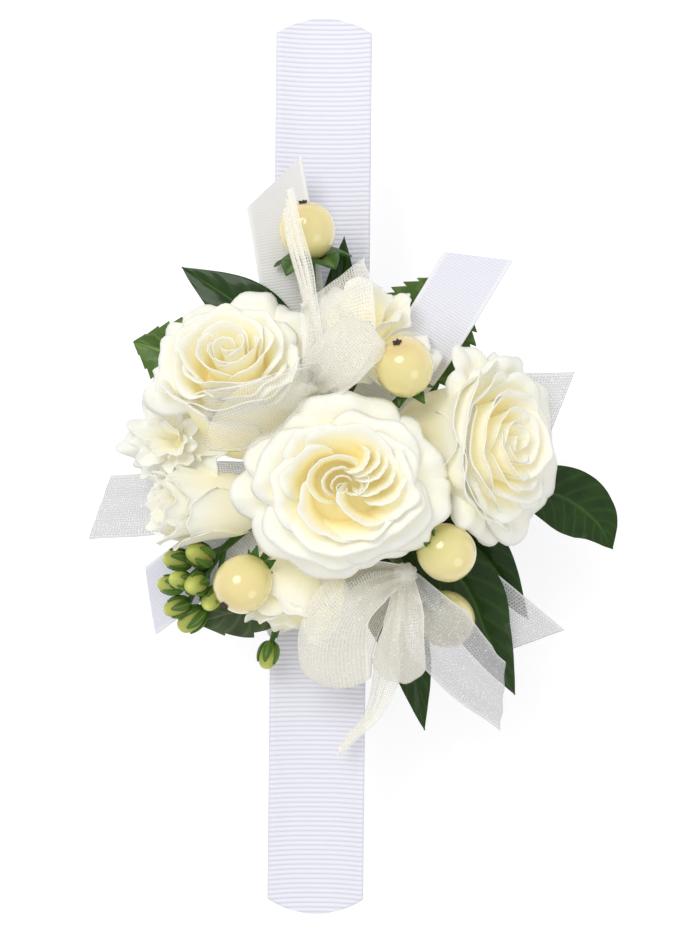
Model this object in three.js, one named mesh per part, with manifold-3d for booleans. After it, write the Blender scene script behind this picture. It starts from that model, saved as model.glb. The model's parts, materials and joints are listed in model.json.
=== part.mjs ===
// Wrist corsage: a bunch of roses, stock, berries, leaves and bows glued to a snap band that curls round a wrist.
// Millimetres. The band lies straight along Y with its wrist side down on z = 0 and the flowers above it.
import * as THREE from "three";
import { mergeVertices } from "three/addons/utils/BufferGeometryUtils.js";
import Module from "manifold-3d";

const wasm = await Module();
wasm.setup();

// Band: a springy strip inside a ribbon sleeve, with a trough along its top
const BAND_LENGTH = 235;
const BAND_WIDTH = 25;
const SLEEVE_WALL = 0.45;
const SPRING_THICKNESS = 0.25;
const SPRING_WIDTH = 20;
const SLEEVE_CLEARANCE = 0.1;
const TROUGH_DEPTH = 2.6;
const TROUGH_FACETS = 7;
const END_BULGE = 4.5;
const SPRING_END_MARGIN = 4;
const CENTER_LENGTH = 35;
const ARM_SEGMENTS = 5;
const SEGMENT_GAP = 0.4;

// Adhesive pad that fills the trough, and the taped stems that lie on it
const FIT_GAP = 0.3;
const TIDY = 0.06;
const BOW_TIDY = 0.12;
const PAD_WIDTH = 21;
const PAD_LENGTH = 33;
const PAD_RISE = 0.4;
const BUNDLE_WIDTH = 29;
const BUNDLE_LENGTH = 37;
const BUNDLE_HEIGHT = 8.5;

// Bouquet from edge to edge, leaves and tails included; places in it follow these three sizes
const BOUQUET_WIDTH = 138;
const BOUQUET_LENGTH = 146;
const BOUQUET_HEIGHT = 47;

// Flowers, berries and leaves
const CENTER_ROSE = { width: 52, length: 45, height: 34 };
const LEFT_ROSE = { width: 42, length: 40, height: 37 };
const RIGHT_ROSE = { width: 48, length: 49, height: 34 };
const TOP_ROSE = { width: 31, length: 30, height: 24 };
const LOWER_ROSE = { width: 29, length: 27, height: 24 };
const LEFT_FLORET = { width: 24, length: 21, height: 14 };
const LOWER_FLORET = { width: 21, length: 21, height: 25 };
const HIP_DIAMETER = 8.5;
const SEPAL_LENGTH = 12;
const ROSE_STEM = 4;
const BERRY_DIAMETER = 14.2;
const BERRY_LENGTH = 14.8;
const BERRY_STEM = 1.8;
const BUD_DIAMETER = 5.2;
const BUD_LENGTH = 7.4;
const BUD_STEM = 1.6;
const LEAF_WIDTH = 20;
const LEAF_THICKNESS = 0.6;
const LEAF_STALK = 1.6;

// Ribbons
const GROSGRAIN_WIDTH = 16;
const GROSGRAIN_THICKNESS = 0.6;
const ORGANZA_WIDTH = 18;
const ORGANZA_THICKNESS = 0.6;
const KNOT_DIAMETER = 5.5;
const WIRE_DIAMETER = 1.2;

// Heights that follow from the sizes above
const SLEEVE_THICKNESS = 2 * SLEEVE_WALL + 2 * SLEEVE_CLEARANCE + SPRING_THICKNESS;
const BAND_TOP = SLEEVE_THICKNESS + TROUGH_DEPTH;
const PAD_TOP = BAND_TOP + FIT_GAP + PAD_RISE;
const ARM_PITCH = (BAND_LENGTH - CENTER_LENGTH) / 2 / ARM_SEGMENTS;
const BUNDLE_HEART = [0, 0, BUNDLE_HEIGHT * 0.45];

const finish = (color, roughness, metalness = 0) => ({ color, roughness, metalness });
const FINISHES = {
  sleeve: finish(0xebebf6, 0.75),
  spring: finish(0xb9bcc2, 0.35, 0.9),
  adhesive: finish(0xe9e2cf, 0.4),
  tape: finish(0x5f7a3c, 0.7),
  petal: finish(0xfaf4e2, 0.6),
  stem: finish(0x6f8f46, 0.6),
  berry: finish(0xefe0a0, 0.3),
  bud: finish(0xa3b24a, 0.7),
  glossyLeaf: finish(0x1f4524, 0.3),
  matteLeaf: finish(0x55712f, 0.6),
  grosgrain: finish(0xececf6, 0.8),
  organza: finish(0xeae4d6, 0.5),
  wire: finish(0x7d8a6a, 0.5, 0.4),
};

const vec = (point) => new THREE.Vector3(...point);

// Places below are written for a bouquet 138 mm wide, 146 mm long and 47 mm high
const placed = ([x, y, z]) => [
  (x * BOUQUET_WIDTH) / 138,
  (y * BOUQUET_LENGTH) / 146,
  (z * BOUQUET_HEIGHT) / 47,
];

function solidFrom(geometry) {
  const plain = geometry.clone();
  plain.deleteAttribute("normal");
  plain.deleteAttribute("uv");
  const merged = mergeVertices(plain, 1e-4);
  const vertProperties = new Float32Array(merged.attributes.position.array);
  const triVerts = new Uint32Array(merged.index.array);
  return new wasm.Manifold(new wasm.Mesh({ numProp: 3, vertProperties, triVerts }));
}

function geometryFrom(solid) {
  const mesh = solid.getMesh();
  const geometry = new THREE.BufferGeometry();
  geometry.setAttribute("position", new THREE.Float32BufferAttribute(mesh.vertProperties, 3));
  geometry.setIndex(new THREE.Uint32BufferAttribute(mesh.triVerts, 1));
  geometry.computeVertexNormals();
  return geometry;
}

function makeMesh(name, geometry, finishName) {
  const mesh = new THREE.Mesh(geometry, new THREE.MeshStandardMaterial(FINISHES[finishName]));
  mesh.name = name;
  return mesh;
}

// Closed body through a row of equal rings, each end closed with a fan round the ring's middle
function ringBody(rings) {
  const count = rings[0].length;
  const points = rings.flat();
  const faces = [];
  for (let row = 0; row + 1 < rings.length; row++) {
    for (let i = 0; i < count; i++) {
      const a = row * count + i;
      const b = row * count + ((i + 1) % count);
      faces.push(a, b, b + count, a, b + count, a + count);
    }
  }
  for (const row of [0, rings.length - 1]) {
    const middle = rings[row].reduce((sum, p) => sum.add(p), new THREE.Vector3()).divideScalar(count);
    points.push(middle);
    for (let i = 0; i < count; i++) {
      const a = row * count + i;
      const b = row * count + ((i + 1) % count);
      const fan = row === 0 ? [b, a] : [a, b];
      faces.push(...fan, points.length - 1);
    }
  }
  let volume = 0;
  for (let i = 0; i < faces.length; i += 3) {
    const [p, q, r] = [points[faces[i]], points[faces[i + 1]], points[faces[i + 2]]];
    volume += p.dot(q.clone().cross(r));
  }
  const ordered = volume > 0 ? faces : faces.reverse();
  const geometry = new THREE.BufferGeometry().setFromPoints(points);
  geometry.setIndex(ordered);
  return geometry;
}

function joined(geometries) {
  const solids = geometries.map(solidFrom);
  return geometryFrom(solids.reduce((sum, solid) => sum.add(solid)));
}

// Turns a body that points up into one that points along a direction from a place
function aim(place, direction) {
  const turn = new THREE.Quaternion().setFromUnitVectors(vec([0, 0, 1]), vec(direction).normalize());
  return new THREE.Matrix4().compose(vec(place), turn, vec([1, 1, 1]));
}

// Band sections
function troughHeight(x) {
  const half = TROUGH_FACETS / 2;
  const facet = Math.abs(x) / (BAND_WIDTH / TROUGH_FACETS);
  const edge = (k) => TROUGH_DEPTH * (Math.max(0, k - 0.5) / (half - 0.5)) ** 2;
  const low = Math.floor(facet + 0.5) - 0.5;
  return THREE.MathUtils.lerp(edge(low), edge(low + 1), facet - low);
}

function troughSection(width, low, high) {
  const step = BAND_WIDTH / TROUGH_FACETS;
  const xs = [-width / 2];
  for (let i = 1; i < TROUGH_FACETS; i++) {
    const x = -BAND_WIDTH / 2 + i * step;
    if (Math.abs(x) < width / 2 - 0.01) xs.push(x);
  }
  xs.push(width / 2);
  const under = xs.map((x) => new THREE.Vector2(x, troughHeight(x) + low));
  const over = xs.map((x) => new THREE.Vector2(x, typeof high === "number" ? troughHeight(x) + high : high.flat));
  return new THREE.Shape([...under, ...over.reverse()]);
}

// Extrudes a section of the band along Y between two places
function along(section, start, end) {
  const geometry = new THREE.ExtrudeGeometry(section, { depth: end - start, bevelEnabled: false });
  geometry.rotateX(Math.PI / 2);
  geometry.translate(0, end, 0);
  return geometry;
}

// Upright prism with the rounded plan of the band's end, drawn in by a margin
function endPlan(margin) {
  const half = BAND_WIDTH / 2;
  const radius = (half * half + END_BULGE * END_BULGE) / (2 * END_BULGE);
  const apex = BAND_LENGTH / 2 - margin;
  const spread = Math.asin(half / radius);
  const plan = new THREE.Shape();
  plan.moveTo(half + 1, 0);
  plan.lineTo(half + 1, apex - END_BULGE);
  plan.absarc(0, apex - radius, radius, Math.PI / 2 - spread, Math.PI / 2 + spread, false);
  plan.lineTo(-half - 1, apex - END_BULGE);
  plan.lineTo(-half - 1, 0);
  const geometry = new THREE.ExtrudeGeometry(plan, { depth: 3 * BAND_TOP, bevelEnabled: false, curveSegments: 10 });
  geometry.translate(0, 0, -BAND_TOP);
  return geometry;
}

const springLow = SLEEVE_WALL + SLEEVE_CLEARANCE;
const springHigh = springLow + SPRING_THICKNESS;
const sleeveSection = () => troughSection(BAND_WIDTH, 0, SLEEVE_THICKNESS);
const springSection = () => troughSection(SPRING_WIDTH, springLow, springHigh);
const slotSection = () => troughSection(
  SPRING_WIDTH + 2 * SLEEVE_CLEARANCE,
  SLEEVE_WALL,
  SLEEVE_THICKNESS - SLEEVE_WALL,
);

function openSleeve(start, end) {
  const section = sleeveSection();
  section.holes.push(slotSection());
  return along(section, start, end);
}

function endSleeve(start) {
  const body = solidFrom(along(sleeveSection(), start, BAND_LENGTH / 2));
  const slot = solidFrom(along(slotSection(), start - 1, BAND_LENGTH / 2));
  const pocket = slot.intersect(solidFrom(endPlan(SPRING_END_MARGIN - SLEEVE_CLEARANCE)));
  return geometryFrom(body.intersect(solidFrom(endPlan(0))).subtract(pocket));
}

function endSpring(start) {
  const body = solidFrom(along(springSection(), start, BAND_LENGTH / 2));
  return geometryFrom(body.intersect(solidFrom(endPlan(SPRING_END_MARGIN))));
}

const corsage = new THREE.Group();
corsage.name = "wrist_corsage";

function addBandCenter() {
  const reach = (CENTER_LENGTH - SEGMENT_GAP) / 2;
  corsage.add(makeMesh("sleeve_center", openSleeve(-reach, reach), "sleeve"));
  corsage.add(makeMesh("spring_center", along(springSection(), -reach, reach), "spring"));
}

function addArm(armName, turn) {
  const arm = new THREE.Group();
  arm.rotation.z = turn;
  for (let i = 0; i < ARM_SEGMENTS; i++) {
    const start = CENTER_LENGTH / 2 + i * ARM_PITCH + SEGMENT_GAP / 2;
    const end = start + ARM_PITCH - SEGMENT_GAP;
    const last = i === ARM_SEGMENTS - 1;
    const sleeve = last ? endSleeve(start) : openSleeve(start, end);
    const spring = last ? endSpring(start) : along(springSection(), start, end);
    arm.add(makeMesh(`sleeve_${armName}_${i + 1}`, sleeve, "sleeve"));
    arm.add(makeMesh(`spring_${armName}_${i + 1}`, spring, "spring"));
  }
  corsage.add(arm);
}

function addPad() {
  const section = troughSection(PAD_WIDTH, SLEEVE_THICKNESS + 0.1, { flat: PAD_TOP });
  corsage.add(makeMesh("adhesive_pad", along(section, -PAD_LENGTH / 2, PAD_LENGTH / 2), "adhesive"));
}

// Everything above the pad is placed in one group whose zero height is the pad's top.
// A piece that comes later gives way to those already there, with a small gap between them.
const bouquet = new THREE.Group();
bouquet.name = "bouquet";
bouquet.position.z = PAD_TOP;
corsage.add(bouquet);
const FLOOR = -PAD_TOP;
const settled = [];
const finished = [];

function slab(width, length, low, high) {
  const geometry = new THREE.BoxGeometry(width, length, high - low);
  geometry.translate(0, 0, (high + low) / 2);
  return solidFrom(geometry);
}

const bandRoom = slab(BAND_WIDTH + 2 * FIT_GAP, BAND_LENGTH + 2 * FIT_GAP, FLOOR - 1, FIT_GAP);
const ground = slab(4 * BAND_LENGTH, 4 * BAND_LENGTH, FLOOR - BAND_LENGTH, FLOOR);
const notRoom = bandRoom.add(ground);

function swollen(geometry) {
  const plain = geometry.clone();
  plain.deleteAttribute("normal");
  plain.deleteAttribute("uv");
  const merged = mergeVertices(plain, 1e-4);
  merged.computeVertexNormals();
  const place = merged.attributes.position;
  const normal = merged.attributes.normal;
  for (let i = 0; i < place.count; i++) {
    place.setX(i, place.getX(i) + FIT_GAP * normal.getX(i));
    place.setY(i, place.getY(i) + FIT_GAP * normal.getY(i));
    place.setZ(i, place.getZ(i) + FIT_GAP * normal.getZ(i));
  }
  return solidFrom(merged);
}

function settle(name, geometry, finishName, tidy = TIDY) {
  let piece = solidFrom(geometry).subtract(notRoom);
  for (const other of settled) piece = piece.subtract(other);
  piece = piece.asOriginal().simplify(tidy);
  for (const other of finished) piece = piece.subtract(other);
  const parts = piece.asOriginal().decompose();
  const largest = parts.reduce((best, part) => (part.volume() > best.volume() ? part : best));
  settled.push(swollen(geometry).add(solidFrom(geometry)));
  finished.push(largest);
  bouquet.add(makeMesh(name, geometryFrom(largest), finishName));
}

// Round rod between two places
function rod(from, to, diameter, sides = 8) {
  const path = vec(to).sub(vec(from));
  const rings = [0, path.length()].map((height) => circle(diameter / 2, height, sides));
  return ringBody(rings).applyMatrix4(aim(from, path.toArray()));
}

function circle(radius, height, sides, shape = () => 1) {
  return Array.from({ length: sides }, (_, i) => {
    const angle = (2 * Math.PI * i) / sides;
    const reach = radius * shape(angle);
    return vec([reach * Math.cos(angle), reach * Math.sin(angle), height]);
  });
}

// Egg along the upright axis with its lower end at zero
function egg(diameter, length, sides = 10, rows = 6) {
  const rings = Array.from({ length: rows }, (_, row) => {
    const angle = (Math.PI * (row + 0.35)) / (rows - 0.3);
    return circle((diameter / 2) * Math.sin(angle), (length / 2) * (1 - Math.cos(angle)), sides);
  });
  return ringBody(rings);
}

// Side view of a bloom, ring of petals by ring of petals from the foot inwards, as shares of its size.
// Each row has its radius and height where the petals spread, and then where they stand upright.
const FOOT_ROWS = [[0.14, 0, 0.42, 0], [0.5, 0.33, 0.66, 0.24]];
const PETAL_RINGS = [
  [[0.88, 0.52, 0.8, 0.54], [1.02, 0.6, 0.84, 0.78], [0.97, 0.645, 0.81, 0.82], [0.87, 0.6, 0.74, 0.76]],
  [[0.86, 0.73, 0.73, 0.86], [0.8, 0.765, 0.69, 0.88], [0.72, 0.69, 0.63, 0.81]],
  [[0.71, 0.84, 0.62, 0.92], [0.66, 0.87, 0.58, 0.94], [0.58, 0.79, 0.52, 0.86]],
  [[0.56, 0.93, 0.5, 0.965], [0.51, 0.955, 0.46, 0.98], [0.42, 0.8, 0.39, 0.85]],
  [[0.34, 0.93, 0.33, 0.95], [0.27, 0.95, 0.27, 0.965], [0.08, 0.88, 0.08, 0.9]],
];

// Rose bloom: rings of petals with valleys between their rims, round a wound heart.
// Its outer petals stand upright on the side at the given angle, by the share given as upright.
function bloom({ width, length, height }, look = {}) {
  const { lobes = 5, sides = 26, ruffle = 0.05, rings = [0, 1, 2, 3, 4], upright = 0, side = 268 } = look;
  const standing = (angle) => upright * (0.5 + 0.5 * Math.cos(angle - THREE.MathUtils.degToRad(side)));
  const spread = (angle) => 1 + 0.12 * (upright - standing(angle));
  function petalRow([wide, low, narrow, high], ring) {
    const petal = (angle) => Math.abs(Math.cos((lobes * angle) / 2 + (ring * Math.PI) / 2));
    return circle(1, 0, sides).map((p) => {
      const angle = Math.atan2(p.y, p.x);
      const stand = standing(angle);
      const reach = ring === 0 ? spread(angle) : 1;
      const edge = reach * (ring < 0 ? 1 : 1 - ruffle * (1 - petal(angle)));
      const lift = ring < 0 ? 0 : 0.5 * ruffle * (petal(angle) - 0.5);
      const radius = edge * THREE.MathUtils.lerp(wide, narrow, stand);
      const rise = lift + THREE.MathUtils.lerp(low, high, stand);
      return vec([(p.x * radius * width) / 2, (p.y * radius * length) / 2, rise * height]);
    });
  }
  const foot = FOOT_ROWS.map((row) => petalRow(row, -1));
  const petals = rings.flatMap((ring) => PETAL_RINGS[ring].map((row) => petalRow(row, ring)));
  return ringBody([...foot, ...petals]);
}

// Green hip under a rose with its sepals, and the stem that runs from it into the bundle
function calyx(place, direction, roseSize) {
  const hip = egg(HIP_DIAMETER, HIP_DIAMETER * 1.1, 8, 5);
  hip.translate(0, 0, -HIP_DIAMETER * 0.85);
  const flaps = Array.from({ length: 5 }, (_, i) => {
    const angle = (2 * Math.PI * i) / 5;
    const out = [Math.cos(angle), Math.sin(angle)];
    const reach = Math.min(SEPAL_LENGTH, 0.42 * roseSize.width);
    const route = [
      [out[0] * 1.5, out[1] * 1.5, -2.6],
      [out[0] * reach * 0.6, out[1] * reach * 0.6, -1.4],
      [out[0] * reach, out[1] * reach, -3.4],
    ];
    return leaf({ route, width: 4.2, stalk: 0.3, fold: 0.1, steps: 4, thickness: 0.8 });
  });
  const head = joined([hip, ...flaps]).applyMatrix4(aim(place, direction));
  const neck = vec(place).addScaledVector(vec(direction).normalize(), -HIP_DIAMETER * 0.6);
  return joined([head, rod(BUNDLE_HEART, neck.toArray(), ROSE_STEM)]);
}

// Smooth run through listed places
const smooth = (places) => new THREE.CatmullRomCurve3(places.map(vec), false, "centripetal");

// Leaf along a route from its foot to its tip, folded a little along the middle
function leaf({ route, width, stalk = 0.22, fold = 0.18, steps = 10, thickness = LEAF_THICKNESS, up = [0, 0, 1] }) {
  const run = smooth(route);
  const rings = [];
  for (let i = 0; i <= steps; i++) {
    const t = i / steps;
    const blade = Math.max(0, (t - stalk) / (1 - stalk));
    const full = Math.sin(Math.PI * blade ** 0.8) ** 0.95;
    const narrow = LEAF_STALK * Math.min(1, 1.25 - t);
    const half = Math.max(narrow, width * full) / 2;
    const tangent = run.getTangent(t);
    const side = tangent.clone().cross(vec(up)).normalize();
    const over = side.clone().cross(tangent).normalize();
    const spine = run.getPoint(t);
    const thick = thickness * (full > 0.05 ? 1 : 1.6);
    const corner = (across, layer) => spine.clone()
      .addScaledVector(side, across * half)
      .addScaledVector(over, fold * half * Math.abs(across) + (layer * thick) / 2);
    const upper = [corner(-1, 1), corner(0, 1), corner(1, 1)];
    const lower = [corner(1, -1), corner(0, -1), corner(-1, -1)];
    rings.push([...upper, ...lower]);
  }
  return ringBody(rings);
}

// Flat ribbon along listed stops; each stop has a place, the way its width points and its share of the width.
// The cut end can slant.
function ribbon({ stops, width, thickness, steps = 18, slant = 0 }) {
  const run = smooth(stops.map((stop) => stop.at));
  const turn = smooth(stops.map((stop) => stop.side));
  const rings = [];
  for (let i = 0; i <= steps; i++) {
    const t = i / steps;
    const tangent = run.getTangent(t);
    const side = turn.getPoint(t).projectOnPlane(tangent).normalize();
    const over = side.clone().cross(tangent).normalize();
    const place = Math.min(t * (stops.length - 1), stops.length - 1.001);
    const first = Math.floor(place);
    const share = THREE.MathUtils.lerp(stops[first].share, stops[first + 1].share, place - first);
    const half = (share * width) / 2;
    const shift = slant * THREE.MathUtils.smoothstep(t, 0.55, 1);
    const corner = (across, layer) => run.getPoint(t)
      .addScaledVector(side, across * half)
      .addScaledVector(tangent, across * shift)
      .addScaledVector(over, (layer * thickness) / 2);
    rings.push([corner(-1, 1), corner(1, 1), corner(1, -1), corner(-1, -1)]);
  }
  return ringBody(rings);
}

const stop = (at, side, share = 1) => ({ at: placed(at), side, share });
const organza = (stops, steps, slant) => ribbon({
  stops, steps, slant, width: ORGANZA_WIDTH, thickness: ORGANZA_THICKNESS,
});
const grosgrain = (stops, steps, slant) => ribbon({
  stops, steps, slant, width: GROSGRAIN_WIDTH, thickness: GROSGRAIN_THICKNESS,
});

function addBundle() {
  const rings = [];
  for (let row = 0; row < 7; row++) {
    const angle = (Math.PI * (row + 0.5)) / 7;
    const spread = Math.sin(angle) ** 0.7;
    const rise = BUNDLE_HEIGHT * (0.45 - 0.55 * Math.cos(angle));
    const ring = circle(1, 0, 20).map((p) => vec([
      (p.x * spread * BUNDLE_WIDTH) / 2,
      (p.y * spread * BUNDLE_LENGTH) / 2,
      rise,
    ]));
    rings.push(ring);
  }
  const raised = ringBody(rings);
  settle("stem_bundle", raised, "tape");
}

// Berry with its dark tip pointing along a direction, on a stem from the bundle
function addBerry(name, spot, tip) {
  const middle = placed(spot);
  const way = vec(tip).normalize();
  const foot = vec(middle).addScaledVector(way, -BERRY_LENGTH / 2);
  const fruit = egg(BERRY_DIAMETER, BERRY_LENGTH, 12, 7).applyMatrix4(aim(foot.toArray(), tip));
  const point = vec(middle).addScaledVector(way, BERRY_LENGTH / 2 + 1.6);
  const nub = rod(vec(middle).toArray(), point.toArray(), 2.2, 5);
  const cup = egg(BERRY_DIAMETER * 0.6, 3, 8, 4).applyMatrix4(aim(foot.toArray(), tip));
  cup.translate(-way.x, -way.y, -way.z);
  const stem = rod(BUNDLE_HEART, foot.toArray(), BERRY_STEM, 6);
  settle(name, joined([fruit, nub, cup, stem]), "berry");
}

function addBloom(name, size, place, direction, look) {
  settle(name, bloom(size, look).applyMatrix4(aim(place, direction)), "petal");
}

// Buds along a short stem from the bundle, each on its own stalk
function addBuds(name, spot, sprays) {
  const stemEnd = placed(spot);
  const buds = sprays.map((bud) => ({ ...bud, at: placed(bud.at) }));
  const stem = rod(BUNDLE_HEART, stemEnd, BUD_STEM * 1.3);
  const heads = buds.map(({ at, way, size = 1 }) => {
    const head = egg(BUD_DIAMETER * size, BUD_LENGTH * size, 7, 4);
    head.translate(0, 0, (-BUD_LENGTH * size) / 2);
    return head.applyMatrix4(aim(at, way));
  });
  const heart = vec(BUNDLE_HEART);
  const stalks = buds.map(({ at }) => {
    const share = THREE.MathUtils.clamp(0.75 * vec(at).length() / vec(stemEnd).length(), 0.3, 0.95);
    const foot = heart.clone().lerp(vec(stemEnd), share);
    return rod(foot.toArray(), at, BUD_STEM, 5);
  });
  settle(name, joined([stem, ...heads, ...stalks]), "bud");
}

// Leaf from the bundle; its width is a share of the usual one, and its stalk a share of its length
function addLeaf(name, finishName, share, spots, stalk) {
  const route = [BUNDLE_HEART, ...spots.map(placed)];
  settle(name, leaf({ route, width: share * LEAF_WIDTH, stalk }), finishName);
}

// Bow: loops and tails gathered in one knot, held by a wire from the bundle
function addBow(name, wireName, spot, strips) {
  const knot = placed(spot);
  const foot = vec(knot).lerp(vec(BUNDLE_HEART), 0.12).toArray();
  settle(wireName, rod(BUNDLE_HEART, foot, WIRE_DIAMETER, 6), "wire");
  const heart = egg(KNOT_DIAMETER, KNOT_DIAMETER, 8, 5);
  heart.translate(0, 0, -KNOT_DIAMETER / 2);
  heart.translate(...knot);
  settle(name, joined([heart, ...strips]), "organza", BOW_TIDY);
}

addBandCenter();
addArm("upper", 0);
addArm("lower", Math.PI);
addPad();
addBundle();

// Berries
addBerry("berry_top", [-2.1, 58.8, 17.4], [-0.15, 0.93, 0.33]);
addBerry("berry_upper", [20.7, 24, 33], [-0.25, 0.75, 0.6]);
addBerry("berry_left", [-18, -29, 24.5], [-0.55, -0.65, 0.4]);
addBerry("berry_right", [31.6, -20.7, 26], [0.7, -0.5, -0.45]);
addBerry("berry_lower", [32.5, -38.1, 14], [0.5, -0.6, -0.6]);

// Blooms, the largest in the middle facing up and the others leaning outwards
const CENTER_PLACE = placed([5.4, -4.6, 14]);
const CENTER_WAY = [0.02, -0.01, 1];
const LEFT_PLACE = placed([-18, 9.5, 6]);
const LEFT_WAY = [-0.12, 0.56, 0.82];
const RIGHT_PLACE = placed([25.5, 5, 5]);
const RIGHT_WAY = [0.76, 0.05, 0.65];
const SMALL_LOOK = { sides: 20, rings: [0, 1, 3, 4], upright: 1 };
const LEFT_FLORET_LOOK = { lobes: 7, ruffle: 0.14, sides: 21, rings: [0, 1, 4] };
const LOWER_FLORET_LOOK = { lobes: 6, sides: 18, rings: [0, 3, 4], upright: 0.6, side: 0 };
addBloom("rose_center", CENTER_ROSE, CENTER_PLACE, CENTER_WAY);
addBloom("rose_left", LEFT_ROSE, LEFT_PLACE, LEFT_WAY, { upright: 1, side: 278 });
addBloom("rose_right", RIGHT_ROSE, RIGHT_PLACE, RIGHT_WAY, { upright: 1, side: 206 });
addBloom("rose_top", TOP_ROSE, placed([9.5, 25, 9]), [0.05, 0.62, 0.78], SMALL_LOOK);
addBloom("rose_lower", LOWER_ROSE, placed([-2, -19, 9]), [-0.3, -0.88, 0.25], { ...SMALL_LOOK, side: 88 });
addBloom("floret_left", LEFT_FLORET, placed([-33, 5.5, 8]), [-0.3, 0.05, 0.95], LEFT_FLORET_LOOK);
addBloom("floret_lower_left", LOWER_FLORET, placed([-18, -10, 12]), [-0.93, -0.03, 0.36], LOWER_FLORET_LOOK);

// Green parts that carry the blooms
settle("calyx_center", calyx(CENTER_PLACE, CENTER_WAY, CENTER_ROSE), "stem");
settle("calyx_left", calyx(LEFT_PLACE, LEFT_WAY, LEFT_ROSE), "stem");
settle("calyx_right", calyx(RIGHT_PLACE, RIGHT_WAY, RIGHT_ROSE), "stem");

addBuds("bud_spray", [-33, -29, 11], [
  { at: [-35.6, -24, 13], way: [-0.9, 0.1, 0.3] },
  { at: [-29.8, -22.5, 15.5], way: [-0.6, 0.35, 0.7], size: 1.1 },
  { at: [-37.6, -30.6, 10.5], way: [-0.9, 0.15, 0.3], size: 0.9 },
  { at: [-34.6, -29, 15.5], way: [-0.6, 0.2, 0.8], size: 0.9 },
  { at: [-30.6, -30, 15.5], way: [-0.35, -0.1, 0.9], size: 1.05 },
  { at: [-35.9, -36.3, 10], way: [-0.85, -0.25, 0.35], size: 0.95 },
  { at: [-32.3, -39.6, 8], way: [-0.7, -0.6, 0.2], size: 1.1 },
  { at: [-26.8, -34, 12], way: [-0.3, -0.5, 0.8] },
]);
addBuds("bud_lower", [-11, -44, 6.5], [{ at: [-12.6, -48.8, 6.8], way: [-0.2, -0.9, 0.3], size: 0.95 }]);

// Bows
const UPPER_KNOT = [-3, 18, 22.5];
const LOWER_KNOT = [22, -26.8, 19.5];
addBow("bow_upper", "bow_wire_upper", UPPER_KNOT, [
  organza([
    stop([-2.5, 18, 23], [1, 0.2, 0], 0.25),
    stop([1, 21, 31], [1, 0.1, 0.1], 0.6),
    stop([4.5, 30.7, 34.5], [1, 0.05, 0]),
    stop([4.2, 40.4, 33], [1, 0, 0]),
    stop([3.2, 45, 29.5], [1, 0, 0]),
  ], 9, 6.5),
  organza([
    stop([-3, 18, 23.5], [0.7, -0.7, 0], 0.25),
    stop([1, 21.5, 35], [0.66, -0.7, 0.2], 0.75),
    stop([7, 27.5, 40], [0.66, -0.7, 0.25]),
    stop([13, 33, 38.5], [0.66, -0.7, 0.3], 0.95),
    stop([11.5, 31, 34], [0.66, -0.7, 0.2], 0.85),
    stop([0, 20, 25], [0.66, -0.7, 0], 0.25),
  ], 15),
  organza([
    stop([-3, 18, 23.5], [0.5, 0, 0.9], 0.25),
    stop([-1, 30, 33.5], [0.5, 0, 0.9], 0.36),
    stop([-3, 44, 35], [0.5, 0, 0.9], 0.4),
    stop([-6.3, 55.8, 33.5], [0.45, 0, 0.9], 0.4),
    stop([-7.7, 64.5, 32], [0.4, 0, 0.9], 0.32),
  ], 9, 2.5),
  organza([
    stop([-3, 18, 23.5], [0.6, 0.6, 0.4], 0.25),
    stop([-0.5, 20.5, 33], [0.3, 0.8, 0.5], 0.45),
    stop([-4, 19.5, 41], [0.1, 0.85, 0.45], 0.7),
    stop([-12, 15.5, 43.5], [0.1, 0.8, 0.55], 0.95),
    stop([-20, 12.5, 42.5], [0.1, 0.78, 0.6]),
    stop([-26.2, 10.2, 39.5], [0.1, 0.78, 0.6]),
    stop([-20.5, 11.8, 40.5], [0.1, 0.78, 0.6], 0.95),
    stop([-12, 14.8, 41.3], [0.1, 0.8, 0.55], 0.9),
    stop([-4.5, 18.8, 38.5], [0.1, 0.85, 0.45], 0.6),
    stop([-2, 19.5, 31], [0.3, 0.8, 0.5], 0.35),
  ], 24),
]);
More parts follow.
